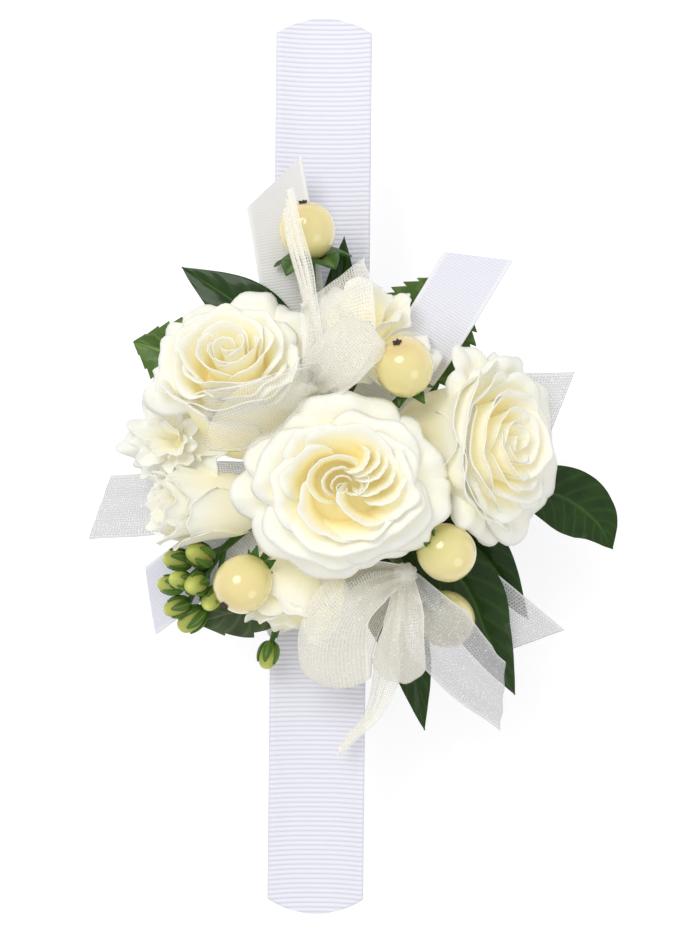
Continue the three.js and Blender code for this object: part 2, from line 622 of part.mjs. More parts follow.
addBow("bow_lower", "bow_wire_lower", LOWER_KNOT, [
  organza([
    stop([21.5, -26.8, 20], [0.35, -0.9, 0.3], 0.25),
    stop([13, -28.5, 27], [0.4, -0.88, 0.3], 0.7),
    stop([4.2, -35.5, 28.5], [0.8, -0.6, 0.2]),
    stop([0.5, -45.5, 26], [0.97, -0.25, 0], 1.15),
    stop([1.6, -55, 16], [0.95, -0.3, 0], 1.22),
    stop([4, -48, 8], [0.95, -0.3, 0], 1.1),
    stop([12, -36, 9], [0.8, -0.4, 0.2], 0.7),
    stop([20, -28.5, 17.5], [0.6, -0.6, 0.3], 0.25),
  ], 18),
  organza([
    stop([22, -27.5, 20.5], [0.8, 0, 0.6], 0.25),
    stop([21.5, -38, 28.5], [0.85, -0.1, 0.5], 0.7),
    stop([21, -48, 26], [0.85, -0.1, 0.5], 0.85),
    stop([20.5, -53.5, 18], [0.85, -0.1, 0.5], 0.9),
    stop([21, -46.5, 11.5], [0.85, -0.1, 0.5], 0.75),
    stop([22.3, -32, 16], [0.8, 0, 0.6], 0.25),
  ], 15),
  organza([
    stop([21.5, -28, 20], [0.5, 0.3, 0.8], 0.25),
    stop([18.5, -43.5, 18], [0.5, 0.3, 0.8], 0.45),
    stop([17.5, -54, 12], [0.5, 0.3, 0.8], 0.5),
    stop([14, -64, 6.5], [0.5, 0.3, 0.8], 0.45),
    stop([6.5, -72.5, 4], [0.5, 0.4, 0.75], 0.35),
  ], 9, 2),
  organza([
    stop([23, -27.5, 20], [0.8, 0.6, 0], 0.25),
    stop([29.5, -39.5, 24.5], [0.72, 0.68, 0.1], 0.95),
    stop([38.5, -50.5, 17], [0.65, 0.76, 0.1], 0.9),
    stop([47.5, -58.3, 9], [0.65, 0.76, 0.1], 0.8),
  ], 9, -7.3),
]);

// Leaves
addLeaf("leaf_upper_left", "glossyLeaf", 0.95, [[-9, 20, 6], [-18, 38, 9], [-35.6, 50.5, 8]]);
addLeaf("leaf_left", "matteLeaf", 1.05, [[-12, 12, 6], [-30, 25, 8.5], [-47.3, 30.5, 6]]);
addLeaf("leaf_top", "glossyLeaf", 0.65, [[2, 16, 5], [4.5, 38, 5.5], [5.8, 59, 6]]);
addLeaf("leaf_upper_right", "matteLeaf", 1.2, [[11, 15, 6], [23, 34, 8.5], [34, 51, 7]]);
addLeaf("leaf_right", "glossyLeaf", 1.05, [[18, -2, 2], [42, -3, -1.5], [62, -5.5, -2], [73.5, -11.4, -2.5],
  [78, -20.6, -3.4]], 0.45);
addLeaf("leaf_lower_right", "glossyLeaf", 0.85, [[16, -12, 6], [36, -28, 9], [43.5, -43, 7], [51.5, -59, -1]]);
addLeaf("leaf_lower_right_back", "glossyLeaf", 0.85, [[17, -8, 3], [40, -20, 2], [55, -39.5, -2]]);
addLeaf("leaf_bottom", "glossyLeaf", 0.7, [[8, -18, 5], [22, -44, 6.5], [28, -68.3, 0.5]]);
addLeaf("leaf_lower_left", "matteLeaf", 0.85, [[-6, -20, 5], [-15, -34, 6.5], [-31, -41, 5]], 0.3);

// Ribbon tails from under the flowers
settle("grosgrain_upper_left", grosgrain([
  stop([-2, 10, 3.5], [1, 0.1, 0], 0.3),
  stop([-4.5, 26, 6.5], [1, 0.15, 0]),
  stop([-7.5, 46, 9], [1, 0.2, 0]),
  stop([-12.2, 72.7, 7.5], [1, 0.22, 0]),
], 9, 5.5), "grosgrain");
settle("grosgrain_upper_right", grosgrain([
  stop([4, 7, 3.5], [0.85, -0.5, 0], 0.3),
  stop([17, 19, 11], [0.85, -0.5, 0]),
  stop([26.5, 31.3, 15.5], [0.85, -0.5, 0]),
  stop([39.7, 53.3, 14.5], [0.85, -0.52, 0]),
], 9, 3.7), "grosgrain");
settle("grosgrain_lower_left", grosgrain([
  stop([-4, -4, 3], [0.6, -0.8, 0], 0.3),
  stop([-17, -15, 6], [0.6, -0.8, 0]),
  stop([-31, -26, 2.5], [0.6, -0.8, 0]),
  stop([-44, -35.8, -4.2], [0.6, -0.8, 0]),
], 9, 4.5), "grosgrain");
settle("organza_right", organza([
  stop([6, 2, 3], [0, 1, 0], 0.3),
  stop([26, 10, 2], [-0.2, 1, 0], 0.8),
  stop([45, 15, -0.5], [-0.1, 1, 0]),
  stop([62.5, 16, 1], [0, 1, 0]),
], 9, 4), "organza");
settle("organza_left", organza([
  stop([-5, -2, 3], [0, 1, 0], 0.3),
  stop([-24, -6, 6], [0, 1, 0], 0.8),
  stop([-42, -10, 2.5], [0, 1, 0], 0.9),
  stop([-57.5, -11.4, -2.5], [0, 1, 0], 0.9),
], 9, -4), "organza");
settle("organza_lower_right", organza([
  stop([5, -6, 3.5], [0.65, 0.76, 0], 0.3),
  stop([24, -22, 5], [0.65, 0.76, 0], 0.8),
  stop([40, -34, 4], [0.65, 0.76, 0]),
  stop([54.2, -45.5, 1.5], [0.65, 0.76, 0]),
], 9, 5.5), "organza");

export default corsage;
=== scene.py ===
"""Wrist corsage: petals, berries, leaves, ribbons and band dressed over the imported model."""
import json
import math

import bmesh
import bpy
import numpy as np
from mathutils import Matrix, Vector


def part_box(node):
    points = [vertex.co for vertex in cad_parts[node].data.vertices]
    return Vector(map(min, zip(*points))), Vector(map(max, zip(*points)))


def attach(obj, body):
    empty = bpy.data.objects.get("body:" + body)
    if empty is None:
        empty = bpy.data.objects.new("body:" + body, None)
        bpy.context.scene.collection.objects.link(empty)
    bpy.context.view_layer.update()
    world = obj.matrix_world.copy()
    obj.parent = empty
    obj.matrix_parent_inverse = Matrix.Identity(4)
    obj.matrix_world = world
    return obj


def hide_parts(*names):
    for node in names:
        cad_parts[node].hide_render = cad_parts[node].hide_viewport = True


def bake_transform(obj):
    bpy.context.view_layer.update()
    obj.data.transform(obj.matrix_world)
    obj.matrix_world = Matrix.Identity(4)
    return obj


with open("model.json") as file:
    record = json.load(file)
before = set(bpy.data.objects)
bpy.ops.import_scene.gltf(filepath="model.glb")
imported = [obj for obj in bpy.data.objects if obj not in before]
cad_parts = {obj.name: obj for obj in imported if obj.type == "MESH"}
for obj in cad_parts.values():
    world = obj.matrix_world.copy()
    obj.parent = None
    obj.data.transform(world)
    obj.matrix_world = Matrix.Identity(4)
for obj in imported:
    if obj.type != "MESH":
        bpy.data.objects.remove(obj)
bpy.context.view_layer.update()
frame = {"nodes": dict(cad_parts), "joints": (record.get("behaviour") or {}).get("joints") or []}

bl_info = {
    "name": "Wrist corsage",
    "version": (1, 0, 0),
    "blender": (4, 5, 0),
    "location": "View3D > Sidebar > Corsage",
    "description": "Builds the petals, berries, leaves, ribbons and band of a wrist corsage",
    "category": "Object",
}

MM = 0.001


def box_of(name):
    """Low and high corner of a node's box, in millimetres."""
    return [np.array(corner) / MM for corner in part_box(name)]


SLEEVE_LOW, SLEEVE_HIGH = box_of("sleeve_center")
BAND_LOW, BAND_HIGH = box_of("sleeve_lower_5")[0], box_of("sleeve_upper_5")[1]
BUNDLE_LOW, BUNDLE_HIGH = box_of("stem_bundle")
PAD_HIGH = box_of("adhesive_pad")[1]
HINGES = {j["name"]: j for j in frame["joints"]}
# The bouquet's own frame stands on the pad, and its stems meet at its heart
BOUQUET = np.array([0.0, 0.0, PAD_HIGH[2]])
HEART = np.array([0.0, 0.0, 3.8])
STEM_START = HEART + BOUQUET
# Height that drooping sepals keep above the table
TABLE_GAP = 0.3
# Length of ribbon that one unit of its map stands for
MAP_LENGTH = 100.0


# Settings a user would change

def length(name, description, default):
    """Length property in metres whose default is given in millimetres."""
    return bpy.props.FloatProperty(name=name, description=description, default=default * MM, unit="LENGTH",
                                   precision=5)


def number(name, description, default, **more):
    """Plain number property."""
    return bpy.props.FloatProperty(name=name, description=description, default=default, **more)


def colour(name, description, default):
    """Colour property in scene-linear values."""
    return bpy.props.FloatVectorProperty(name=name, description=description, default=default, size=3,
                                         subtype="COLOR", min=0.0, max=1.0)


class CorsageBand(bpy.types.PropertyGroup):
    """Sizes and colour of the ribbed band."""
    width: length("Width", "Width of the covered band", SLEEVE_HIGH[0] - SLEEVE_LOW[0])
    reach: length("Length", "Length of the straight band", BAND_HIGH[1] - BAND_LOW[1])
    rib_pitch: length("Rib pitch", "Distance between ribs of the ribbon", 1.25)
    rib_height: length("Rib height", "Height of a rib", 0.16)
    trough: length("Trough depth", "How far the band's edges stand above its middle", 2.6)
    thickness: length("Thickness", "Thickness of the covered band", 1.35)
    ribbon: colour("Ribbon", "Colour of the ribbed ribbon", (0.86, 0.86, 0.97))
    steel: colour("Steel", "Colour of the springy strip", (0.52, 0.53, 0.55))


class CorsageBlooms(bpy.types.PropertyGroup):
    """Sizes and colours of the petals."""
    thickness: length("Petal thickness", "Thickness of a petal", 0.22)
    # Rim to deep run from a petal's rim to its foot; the warmer, darker colours towards the foot are partly
    # the petals' own colour and partly painted warm light and shade in the hollows.
    rim: colour("Rim", "Colour of petal rims", (0.945, 0.945, 0.88))
    cream: colour("Cream", "Colour of the open part of petals", (0.975, 0.945, 0.78))
    hollow: colour("Hollow", "Colour between petals", (0.955, 0.90, 0.62))
    deep: colour("Deep", "Colour at the foot of petals", (0.93, 0.84, 0.50))


class CorsageGreens(bpy.types.PropertyGroup):
    """Colours of leaves, stems, buds and berries, and the berries' size."""
    berry_width: length("Berry width", "Diameter of a berry", 14.2)
    berry_length: length("Berry length", "Length of a berry without its tip", 14.8)
    glossy: colour("Glossy leaf", "Colour of the dark glossy leaves", (0.016, 0.046, 0.006))
    toothed: colour("Toothed leaf", "Colour of the toothed leaves", (0.075, 0.15, 0.025))
    downy: colour("Downy leaf", "Colour of the grey-green leaf", (0.07, 0.10, 0.045))
    stem: colour("Stem", "Colour of stems and sepals", (0.05, 0.13, 0.02))
    berry: colour("Berry", "Colour of the berries", (0.88, 0.78, 0.35))
    bud: colour("Bud", "Colour of the buds", (0.52, 0.56, 0.13))


class CorsageRibbons(bpy.types.PropertyGroup):
    """Sizes and colours of bows and tails."""
    organza_width: length("Sheer width", "Width of the sheer ribbon", 18.0)
    grosgrain_width: length("Ribbed width", "Width of the ribbed tails", 16.0)
    rib_pitch: length("Rib pitch", "Distance between ribs of the tails", 0.76)
    ivory: colour("Ivory", "Colour of the one warmer ribbed tail", (0.84, 0.835, 0.83))
    organza: colour("Sheer bows", "Colour of the sheer bows", (0.985, 0.96, 0.875))
    # The loose tails' grey is painted shade: the shade behind them seen through the sheer ribbon.
    organza_tail: colour("Sheer tails", "Colour of the loose sheer tails", (0.68, 0.68, 0.69))
    cover: number("Cover", "How much one layer of sheer ribbon hides", 0.40, min=0.0, max=1.0,
                  subtype="FACTOR")


class CorsageStage(bpy.types.PropertyGroup):
    """Camera, floor and light."""
    camera_height: length("Camera height", "Height of the camera above the band", 450.0)
    camera_side: length("Camera side", "How far the camera stands to the right of the band", 7.9)
    lens: number("Lens", "Focal length in millimetres", 66.0)
    roll: number("Roll", "Turn of the camera about its view", math.radians(0.6), subtype="ANGLE")
    floor: length("Floor", "Height of the floor, just under the curled band", -53.0)
    key: number("Key light", "Power of the large lamp in watts", 2.4)
    fill: number("Fill light", "Strength of the light all round", 0.70)


SETTINGS = {
    "corsage_band": CorsageBand,
    "corsage_blooms": CorsageBlooms,
    "corsage_greens": CorsageGreens,
    "corsage_ribbons": CorsageRibbons,
    "corsage_stage": CorsageStage,
}


# Surfaces

def smooth(t):
    """Smooth step 3t^2 - 2t^3 of t held between 0 and 1."""
    t = np.clip(t, 0.0, 1.0)
    return t * t * (3.0 - 2.0 * t)


def unit(v):
    """Vectors of length one along the last axis."""
    v = np.asarray(v, float)
    return v / np.maximum(np.linalg.norm(v, axis=-1, keepdims=True), 1e-12)


def around(count):
    """Angles of count even steps round a circle."""
    return np.linspace(0, 2 * np.pi, count, endpoint=False)


def aim(way):
    """Rotation matrix that carries +Z onto a direction by the shortest turn."""
    x, y, z = unit(way)
    if z < -0.9999:
        return np.diag([1.0, -1.0, -1.0])
    k = 1.0 / (1.0 + z)
    return np.array([[1 - x * x * k, -x * y * k, x], [-x * y * k, 1 - y * y * k, y], [-x, -y, z]])


def run_through(points, count):
    """Catmull-Rom run through the listed points at count even steps of its parameter."""
    p = np.asarray(points, float)
    ends = np.vstack([2 * p[0] - p[1], p, 2 * p[-1] - p[-2]])
    t = np.linspace(0.0, len(p) - 1.0, count)
    k = np.minimum(t.astype(int), len(p) - 2)
    f = (t - k)[:, None]
    a, b, c, d = (ends[k + i] for i in range(4))
    return 0.5 * (2 * b + (c - a) * f + (2 * a - 5 * b + 4 * c - d) * f**2 + (3 * b - a - 3 * c + d) * f**3)


def grid_faces(rows, cols, closed=False):
    """Quads of a rows by cols grid of points; closed also joins the last column to the first."""
    r = np.arange(rows - 1)[:, None]
    c = np.arange(cols if closed else cols - 1)[None, :]
    a = r * cols + c
    b = r * cols + (c + 1) % cols
    return np.stack([a, b, b + cols, a + cols], axis=-1).reshape(-1, 4)


class Sheet:
    """Points of one or more like grids, with their faces, a two-number map and named marks per point."""

    def __init__(self, points, closed=False, uv=None, **marks):
        points = np.asarray(points, float)
        if points.ndim == 3:
            points = points[None]
        count, rows, cols = points.shape[:3]
        self.points = points.reshape(-1, 3)
        first = np.arange(count)[:, None, None] * rows * cols
        self.faces = (grid_faces(rows, cols, closed)[None] + first).reshape(-1, 4)
        if uv is None:
            uv = np.stack(np.meshgrid(np.linspace(0, 1, cols), np.linspace(0, 1, rows)), axis=-1)
        self.uv = np.broadcast_to(uv, (count, rows, cols, 2)).reshape(-1, 2)
        self.marks = {k: np.broadcast_to(m, (count, rows, cols)).reshape(-1) for k, m in marks.items()}

    def moved(self, offset, way=(0.0, 0.0, 1.0)):
        """The same sheet turned from +Z to face a way, then shifted."""
        self.points = self.points @ aim(way).T + np.asarray(offset)
        return self


def together(sheets):
    """Several sheets as one, keeping the marks that the first one has."""
    whole = sheets[0]
    starts = np.cumsum([0] + [len(s.points) for s in sheets[:-1]])
    whole.faces = np.concatenate([s.faces + k for s, k in zip(sheets, starts)])
    whole.uv = np.concatenate([s.uv for s in sheets])
    whole.marks = {k: np.concatenate([s.marks.get(k, np.zeros(len(s.points))) for s in sheets])
                   for k in whole.marks}
    whole.points = np.concatenate([s.points for s in sheets])
    return whole


def make_piece(name, sheet, material, replaces=(), wall=0.0, body="center"):
    """Mesh object at the origin from a sheet in millimetres, on a body and standing for CAD nodes."""
    mesh = bpy.data.meshes.new(name)
    mesh.from_pydata((sheet.points * MM).tolist(), [], sheet.faces.tolist())
    corners = np.empty(len(mesh.loops), np.int32)
    mesh.loops.foreach_get("vertex_index", corners)
    mesh.uv_layers.new(name="UVMap").data.foreach_set("uv", sheet.uv[corners].astype(np.float32).ravel())
    for key, values in sheet.marks.items():
        mesh.attributes.new(key, "FLOAT", "POINT").data.foreach_set("value", values.astype(np.float32))
    work = bmesh.new()
    work.from_mesh(mesh)
    bmesh.ops.remove_doubles(work, verts=work.verts, dist=2e-6)
    work.to_mesh(mesh)
    work.free()
    mesh.polygons.foreach_set("use_smooth", np.ones(len(mesh.polygons), bool))
    mesh.update()
    piece = bpy.data.objects.new(name, mesh)
    bpy.context.scene.collection.objects.link(piece)
    mesh.materials.append(material)
    if wall:
        skin = piece.modifiers.new("wall", "SOLIDIFY")
        skin.thickness = wall * MM
        skin.offset = 0.0
    if body:
        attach(piece, body)
    if replaces:
        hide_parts(*replaces)
    return piece


def tube(points, radius, count=24, sides=10):
    """Round tube along a run through points, drawn to a point at both ends.

    The radius is one number, or one for each listed point.
    """
    spine = run_through(points, count)
    along = unit(np.gradient(spine, axis=0))
    helper = np.where(np.abs(along[:, 2:3]) < 0.9, [[0.0, 0.0, 1.0]], [[1.0, 0.0, 0.0]])
    side = unit(np.cross(along, helper))
    over = np.cross(side, along)
    turn = around(sides)
    size = np.interp(np.linspace(0, 1, count), np.linspace(0, 1, np.size(radius)), np.atleast_1d(radius))
    ring = np.cos(turn)[None, :, None] * side[:, None] + np.sin(turn)[None, :, None] * over[:, None]
    skin = spine[:, None] + size[:, None, None] * ring
    first, last = (np.repeat(end[None, None], sides, 1) for end in (spine[0], spine[-1]))
    return Sheet(np.concatenate([first, skin, last]), closed=True)


def egg(width, height, rows=28, sides=32, full=0.5):
    """Egg along +Z from z = 0: radius width/2 * sin(pi t^q), with its widest place at the share full."""
    t = np.linspace(0, 1, rows)[:, None]
    q = math.log(0.5) / math.log(full)
    turn = around(sides)[None]
    radius = width / 2 * np.sin(np.pi * t**q) ** 0.85
    rise = height / 2 * (1 - np.cos(np.pi * t))
    points = np.stack([radius * np.cos(turn), radius * np.sin(turn), rise + 0 * turn], -1)
    return Sheet(points, closed=True, along=t + 0 * turn)


# Shader helpers

WHITE = (1.0, 1.0, 1.0)


def node(tree, kind, **values):
    """New shader node; values are its inputs by name, or its own settings where they start small."""
    made = tree.nodes.new(kind)
    for key, value in values.items():
        if key[0].islower():
            setattr(made, key, value)
        else:
            made.inputs[key.replace("_", " ")].default_value = value
    return made


def new_material(name, **values):
    """Material whose Principled BSDF takes the given values; returns it, its tree and its shader."""
    material = bpy.data.materials.new(name + "_finish")
    material.use_nodes = True
    tree = material.node_tree
    shader = tree.nodes["Principled BSDF"]
    for key, value in values.items():
        shader.inputs[key.replace("_", " ")].default_value = value
    return material, tree, shader


def rgba(value, scale=1.0):
    """Colour with full alpha, its three parts multiplied by scale."""
    return (*[min(1.0, c * scale) for c in value[:3]], 1.0)


def ramp(tree, source, stops):
    """Colour ramp over stops of (place, colour), fed by a socket; returns its colour socket."""
    made = tree.nodes.new("ShaderNodeValToRGB")
    points = made.color_ramp.elements
    while len(points) < len(stops):
        points.new(0.5)
    for point, (place, value) in zip(points, stops):
        point.position = place
        point.color = rgba(value)
    tree.links.new(source, made.inputs["Fac"])
    return made.outputs["Color"]


def mark(tree, name):
    """Socket of a named mark of the mesh."""
    return node(tree, "ShaderNodeAttribute", attribute_name=name).outputs["Fac"]


def combine(tree, kind, a, b, clamp=False):
    """Math node of two sockets or numbers; returns its value socket."""
    made = node(tree, "ShaderNodeMath", operation=kind, use_clamp=clamp)
    for i, term in enumerate((a, b)):
        if isinstance(term, (int, float)):
            made.inputs[i].default_value = term
        else:
            tree.links.new(term, made.inputs[i])
    return made.outputs[0]


def scaled(tree, socket, factor):
    """A socket times a number or another socket."""
    return combine(tree, "MULTIPLY", socket, factor)


def blend_colour(tree, share, a, b):
    """Mix of two colours or colour sockets by a share socket; returns its colour socket."""
    made = node(tree, "ShaderNodeMix", data_type="RGBA")
    for i, term in ((0, share), (6, a), (7, b)):
        if isinstance(term, bpy.types.NodeSocket):
            tree.links.new(term, made.inputs[i])
        else:
            made.inputs[i].default_value = rgba(term)
    return made.outputs[2]


def dress(tree, shader, tint, height, strength, distance):
    """Links a colour and a bump height into a shader; distance is in millimetres."""
    tree.links.new(tint, shader.inputs["Base Color"])
    made = node(tree, "ShaderNodeBump", Strength=strength, Distance=distance * MM)
    tree.links.new(height, made.inputs["Height"])
    tree.links.new(made.outputs["Normal"], shader.inputs["Normal"])


def new_group(name, inputs, outputs):
    """Node group with named number sockets; returns it with its entering and leaving nodes."""
    group = bpy.data.node_groups.new(name, "ShaderNodeTree")
    for key, value in inputs.items():
        group.interface.new_socket(key, in_out="INPUT", socket_type="NodeSocketFloat").default_value = value
    for key in outputs:
        group.interface.new_socket(key, in_out="OUTPUT", socket_type="NodeSocketFloat")
    return group, group.nodes.new("NodeGroupInput"), group.nodes.new("NodeGroupOutput")


def mottle_group():
    """Node group: soft noise on object coordinates, as a mask and as a finer height."""
    if "mottle" in bpy.data.node_groups:
        return bpy.data.node_groups["mottle"]
    group, enter, leave = new_group("mottle", {"Size": 200.0}, ("Mask", "Height"))
    place = group.nodes.new("ShaderNodeTexCoord")
    broad = node(group, "ShaderNodeTexNoise", Detail=3.0, Roughness=0.55)
    fine = node(group, "ShaderNodeTexNoise", Detail=4.0, Roughness=0.6)
    finer = scaled(group, enter.outputs["Size"], 7.0)
    for tex, size in ((broad, enter.outputs["Size"]), (fine, finer)):
        group.links.new(place.outputs["Object"], tex.inputs["Vector"])
        group.links.new(size, tex.inputs["Scale"])
    spread = node(group, "ShaderNodeMapRange", From_Min=0.3, From_Max=0.7)
    group.links.new(broad.outputs["Fac"], spread.inputs["Value"])
    group.links.new(spread.outputs["Result"], leave.inputs["Mask"])
    group.links.new(fine.outputs["Fac"], leave.inputs["Height"])
    return group


def mottle(tree, size):
    """Places the mottle group; returns its mask and height sockets."""
    return node(tree, "ShaderNodeGroup", node_tree=mottle_group(), Size=size).outputs.values()


def threads_group():
    """Node group: crossing threads on the UV map, as two masks of warp and weft and their union."""
    if "threads" in bpy.data.node_groups:
        return bpy.data.node_groups["threads"]
    group, enter, leave = new_group("threads", {"Across": 40.0, "Along": 40.0}, ("Warp", "Weft", "Cover"))
    place = node(group, "ShaderNodeUVMap", uv_map="UVMap")
    parts = group.nodes.new("ShaderNodeSeparateXYZ")
    group.links.new(place.outputs["UV"], parts.inputs[0])
    masks = []
    for axis, key, out in (("X", "Across", "Warp"), ("Y", "Along", "Weft")):
        turns = scaled(group, parts.outputs[axis], enter.outputs[key])
        mask = scaled(group, combine(group, "PINGPONG", turns, 0.5), 2.0)
        group.links.new(mask, leave.inputs[out])
        masks.append(mask)
    group.links.new(combine(group, "MAXIMUM", *masks), leave.inputs["Cover"])
    return group


def threads(tree, across, along):
    """Places the threads group with its counts of threads; returns its warp, weft and cover sockets."""
    made = node(tree, "ShaderNodeGroup", node_tree=threads_group(), Across=across, Along=along)
    return made.outputs.values()


# Materials

def petal_material(name, settings):
    """Petal: pale rim, cream and golden foot, with fine lengthwise veins; a painted glow, strongest in the
    hollows and weaker at the foot, stands in for light shining through the petals.
    """
    # The emission strength sets a painted glow of the petals' own colours.
    material, tree, shader = new_material(name, Roughness=0.5, Specular_IOR_Level=0.25,
                                          Emission_Strength=0.15)
    mask, height = mottle(tree, 90.0)
    place = node(tree, "ShaderNodeUVMap", uv_map="UVMap")
    stretch = node(tree, "ShaderNodeMapping", Scale=(46.0, 2.5, 1.0))
    noise = node(tree, "ShaderNodeTexNoise", Scale=1.0, Detail=3.0)
    tree.links.new(place.outputs["UV"], stretch.inputs["Vector"])
    tree.links.new(stretch.outputs["Vector"], noise.inputs["Vector"])
    veins = noise.outputs["Fac"]
    patches = combine(tree, "ADD", scaled(tree, mask, 0.08), scaled(tree, veins, 0.12))
    warmth = combine(tree, "ADD", mark(tree, "warmth"), patches)
    # Rim, cream, hollow and deep follow the warmth mark: partly the petals' own warmer colour towards the
    # foot, partly painted warm light and shade in the hollows.
    tint = ramp(tree, warmth, [(0.10, settings.rim), (0.32, settings.cream), (0.66, settings.hollow),
                               (1.0, settings.deep)])
    # Painted glow: weak at the rims, strongest in the hollows, a little weaker at the foot as painted shade
    # there.
    glow = ramp(tree, warmth, [(0.10, rgba(settings.rim, 0.25)), (0.4, rgba(settings.cream, 0.75)),
                               (0.75, rgba(settings.hollow, 0.95)), (1.0, rgba(settings.deep, 0.75))])
    tree.links.new(glow, shader.inputs["Emission Color"])
    relief = combine(tree, "ADD", veins, scaled(tree, height, 0.3))
    dress(tree, shader, tint, relief, strength=0.35, distance=0.35)
    return material


def berry_material(name, settings):
    """Berry: pale yellow skin, greener at its foot and warmer on patches, with a hard shine."""
    material, tree, shader = new_material(name, Roughness=0.2, Coat_Weight=1.0, Coat_Roughness=0.03,
                                          Subsurface_Weight=0.1, Subsurface_Scale=0.004)
    mask, height = mottle(tree, 60.0)
    foot, shoulder, blush, tip, patch = ((0.50, 0.54, 0.12), (0.88, 0.75, 0.33), (0.80, 0.60, 0.24),
                                         (0.30, 0.16, 0.06), (0.90, 0.74, 0.34))
    skin = ramp(tree, mark(tree, "along"), [(0.0, foot), (0.4, settings.berry), (0.78, shoulder),
                                            (0.95, blush), (1.0, tip)])
    tint = blend_colour(tree, scaled(tree, mask, 0.35), skin, patch)
    dress(tree, shader, tint, height, strength=0.06, distance=0.1)
    return material


def plant_material(name, base, light, roughness, coat=0.0):
    """Leaf or stem: base colour with lighter veins by the mesh's vein mark, mottled, with a fine grain."""
    material, tree, shader = new_material(name, Roughness=roughness, Coat_Weight=coat, Coat_Roughness=0.1,
                                          Specular_IOR_Level=0.15)
    mask, height = mottle(tree, 150.0)
    body = blend_colour(tree, mask, rgba(base, 0.75), rgba(base, 1.3))
    tint = blend_colour(tree, mark(tree, "vein"), body, light)
    dress(tree, shader, tint, height, strength=0.2, distance=0.25)
    return material


def bud_material(name, settings):
    """Bud: yellow-green towards its tip, darker at its foot, with soft down."""
    material, tree, shader = new_material(name, Roughness=0.5, Specular_IOR_Level=0.3)
    mask, height = mottle(tree, 400.0)
    foot, patch = (0.06, 0.13, 0.02), (0.18, 0.28, 0.05)
    skin = ramp(tree, mark(tree, "along"), [(0.0, foot), (0.4, rgba(settings.bud, 0.55)),
                                            (0.8, settings.bud), (1.0, rgba(settings.bud, 1.5))])
    tint = blend_colour(tree, scaled(tree, mask, 0.25), skin, patch)
    dress(tree, shader, tint, height, strength=0.4, distance=0.2)
    return material


def ribbed_material(name, tint, across):
    """Ribbed ribbon: threads across the ribs, painted shade in the rib hollows and a painted highlight on
    the rib crests by the rib mark, and white selvedges.
    """
    material, tree, shader = new_material(name, Roughness=0.72, Sheen_Weight=0.2, Specular_IOR_Level=0.25)
    warp = threads(tree, across, 1.0)[0]
    # Painted shade in the hollows between ribs and painted highlight on their crests.
    ribs = ramp(tree, mark(tree, "rib"), [(0.0, rgba(tint, 0.82)), (0.55, rgba(tint, 0.96)),
                                          (1.0, rgba(tint, 1.08))])
    cloth = blend_colour(tree, scaled(tree, warp, 0.10), ribs, rgba(tint, 0.8))
    body = blend_colour(tree, scaled(tree, mark(tree, "selvedge"), 0.7), cloth, (0.97, 0.97, 0.98))
    dress(tree, shader, body, warp, strength=0.15, distance=0.08)
    return material


def organza_material(name, tint, cover, glow, sparkle=0.55, least=0.06):
    """Sheer ribbon: crossing threads with open meshes between them, firm selvedges, scattered painted glints
    and a painted glow of its own colour.
    """
    material, tree, shader = new_material(name, Roughness=0.4, Specular_IOR_Level=0.4,
                                          Emission_Strength=glow)
    net = threads(tree, NET_ACROSS, NET_ALONG)[2]
    mask = mottle(tree, 900.0)[0]
    # Painted glints: fine noise picks white spots that are more opaque and glow.
    glint = node(tree, "ShaderNodeTexNoise", Scale=2400.0, Detail=1.0)
    place = node(tree, "ShaderNodeTexCoord")
    tree.links.new(place.outputs["Object"], glint.inputs["Vector"])
    spark = ramp(tree, glint.outputs["Fac"], [(0.62, (0.0, 0.0, 0.0)), (0.68, WHITE)])
    edge = scaled(tree, mark(tree, "selvedge"), 0.8)
    body = blend_colour(tree, combine(tree, "MAXIMUM", spark, edge), tint, (1.0, 1.0, 0.98))
    # The emission colour is the ribbon's tint with white glints and selvedges, as a painted glow.
    tree.links.new(body, shader.inputs["Emission Color"])
    mesh = node(tree, "ShaderNodeMapRange", From_Min=0.40, From_Max=0.62, To_Min=least, To_Max=cover)
    tree.links.new(net, mesh.inputs["Value"])
    cloudy = combine(tree, "ADD", mesh.outputs["Result"], scaled(tree, mask, 0.15 * cover))
    firm = combine(tree, "MAXIMUM", cloudy, edge)
    full = combine(tree, "MAXIMUM", firm, scaled(tree, spark, sparkle), clamp=True)
    tree.links.new(full, shader.inputs["Alpha"])
    dress(tree, shader, body, net, strength=0.2, distance=0.1)
    return material


def plain_material(name, tint, roughness, metallic=0.0):
    """Mottled plain finish with a fine grain."""
    material, tree, shader = new_material(name, Roughness=roughness, Metallic=metallic)
    mask, height = mottle(tree, 300.0)
    body = blend_colour(tree, mask, rgba(tint, 0.85), rgba(tint, 1.1))
    dress(tree, shader, body, height, strength=0.2, distance=0.15)
    return material


def finish_of(maker, name, *values, **named):
    """The named material, made once."""
    return bpy.data.materials.get(name + "_finish") or maker(name, *values, **named)


# Blooms

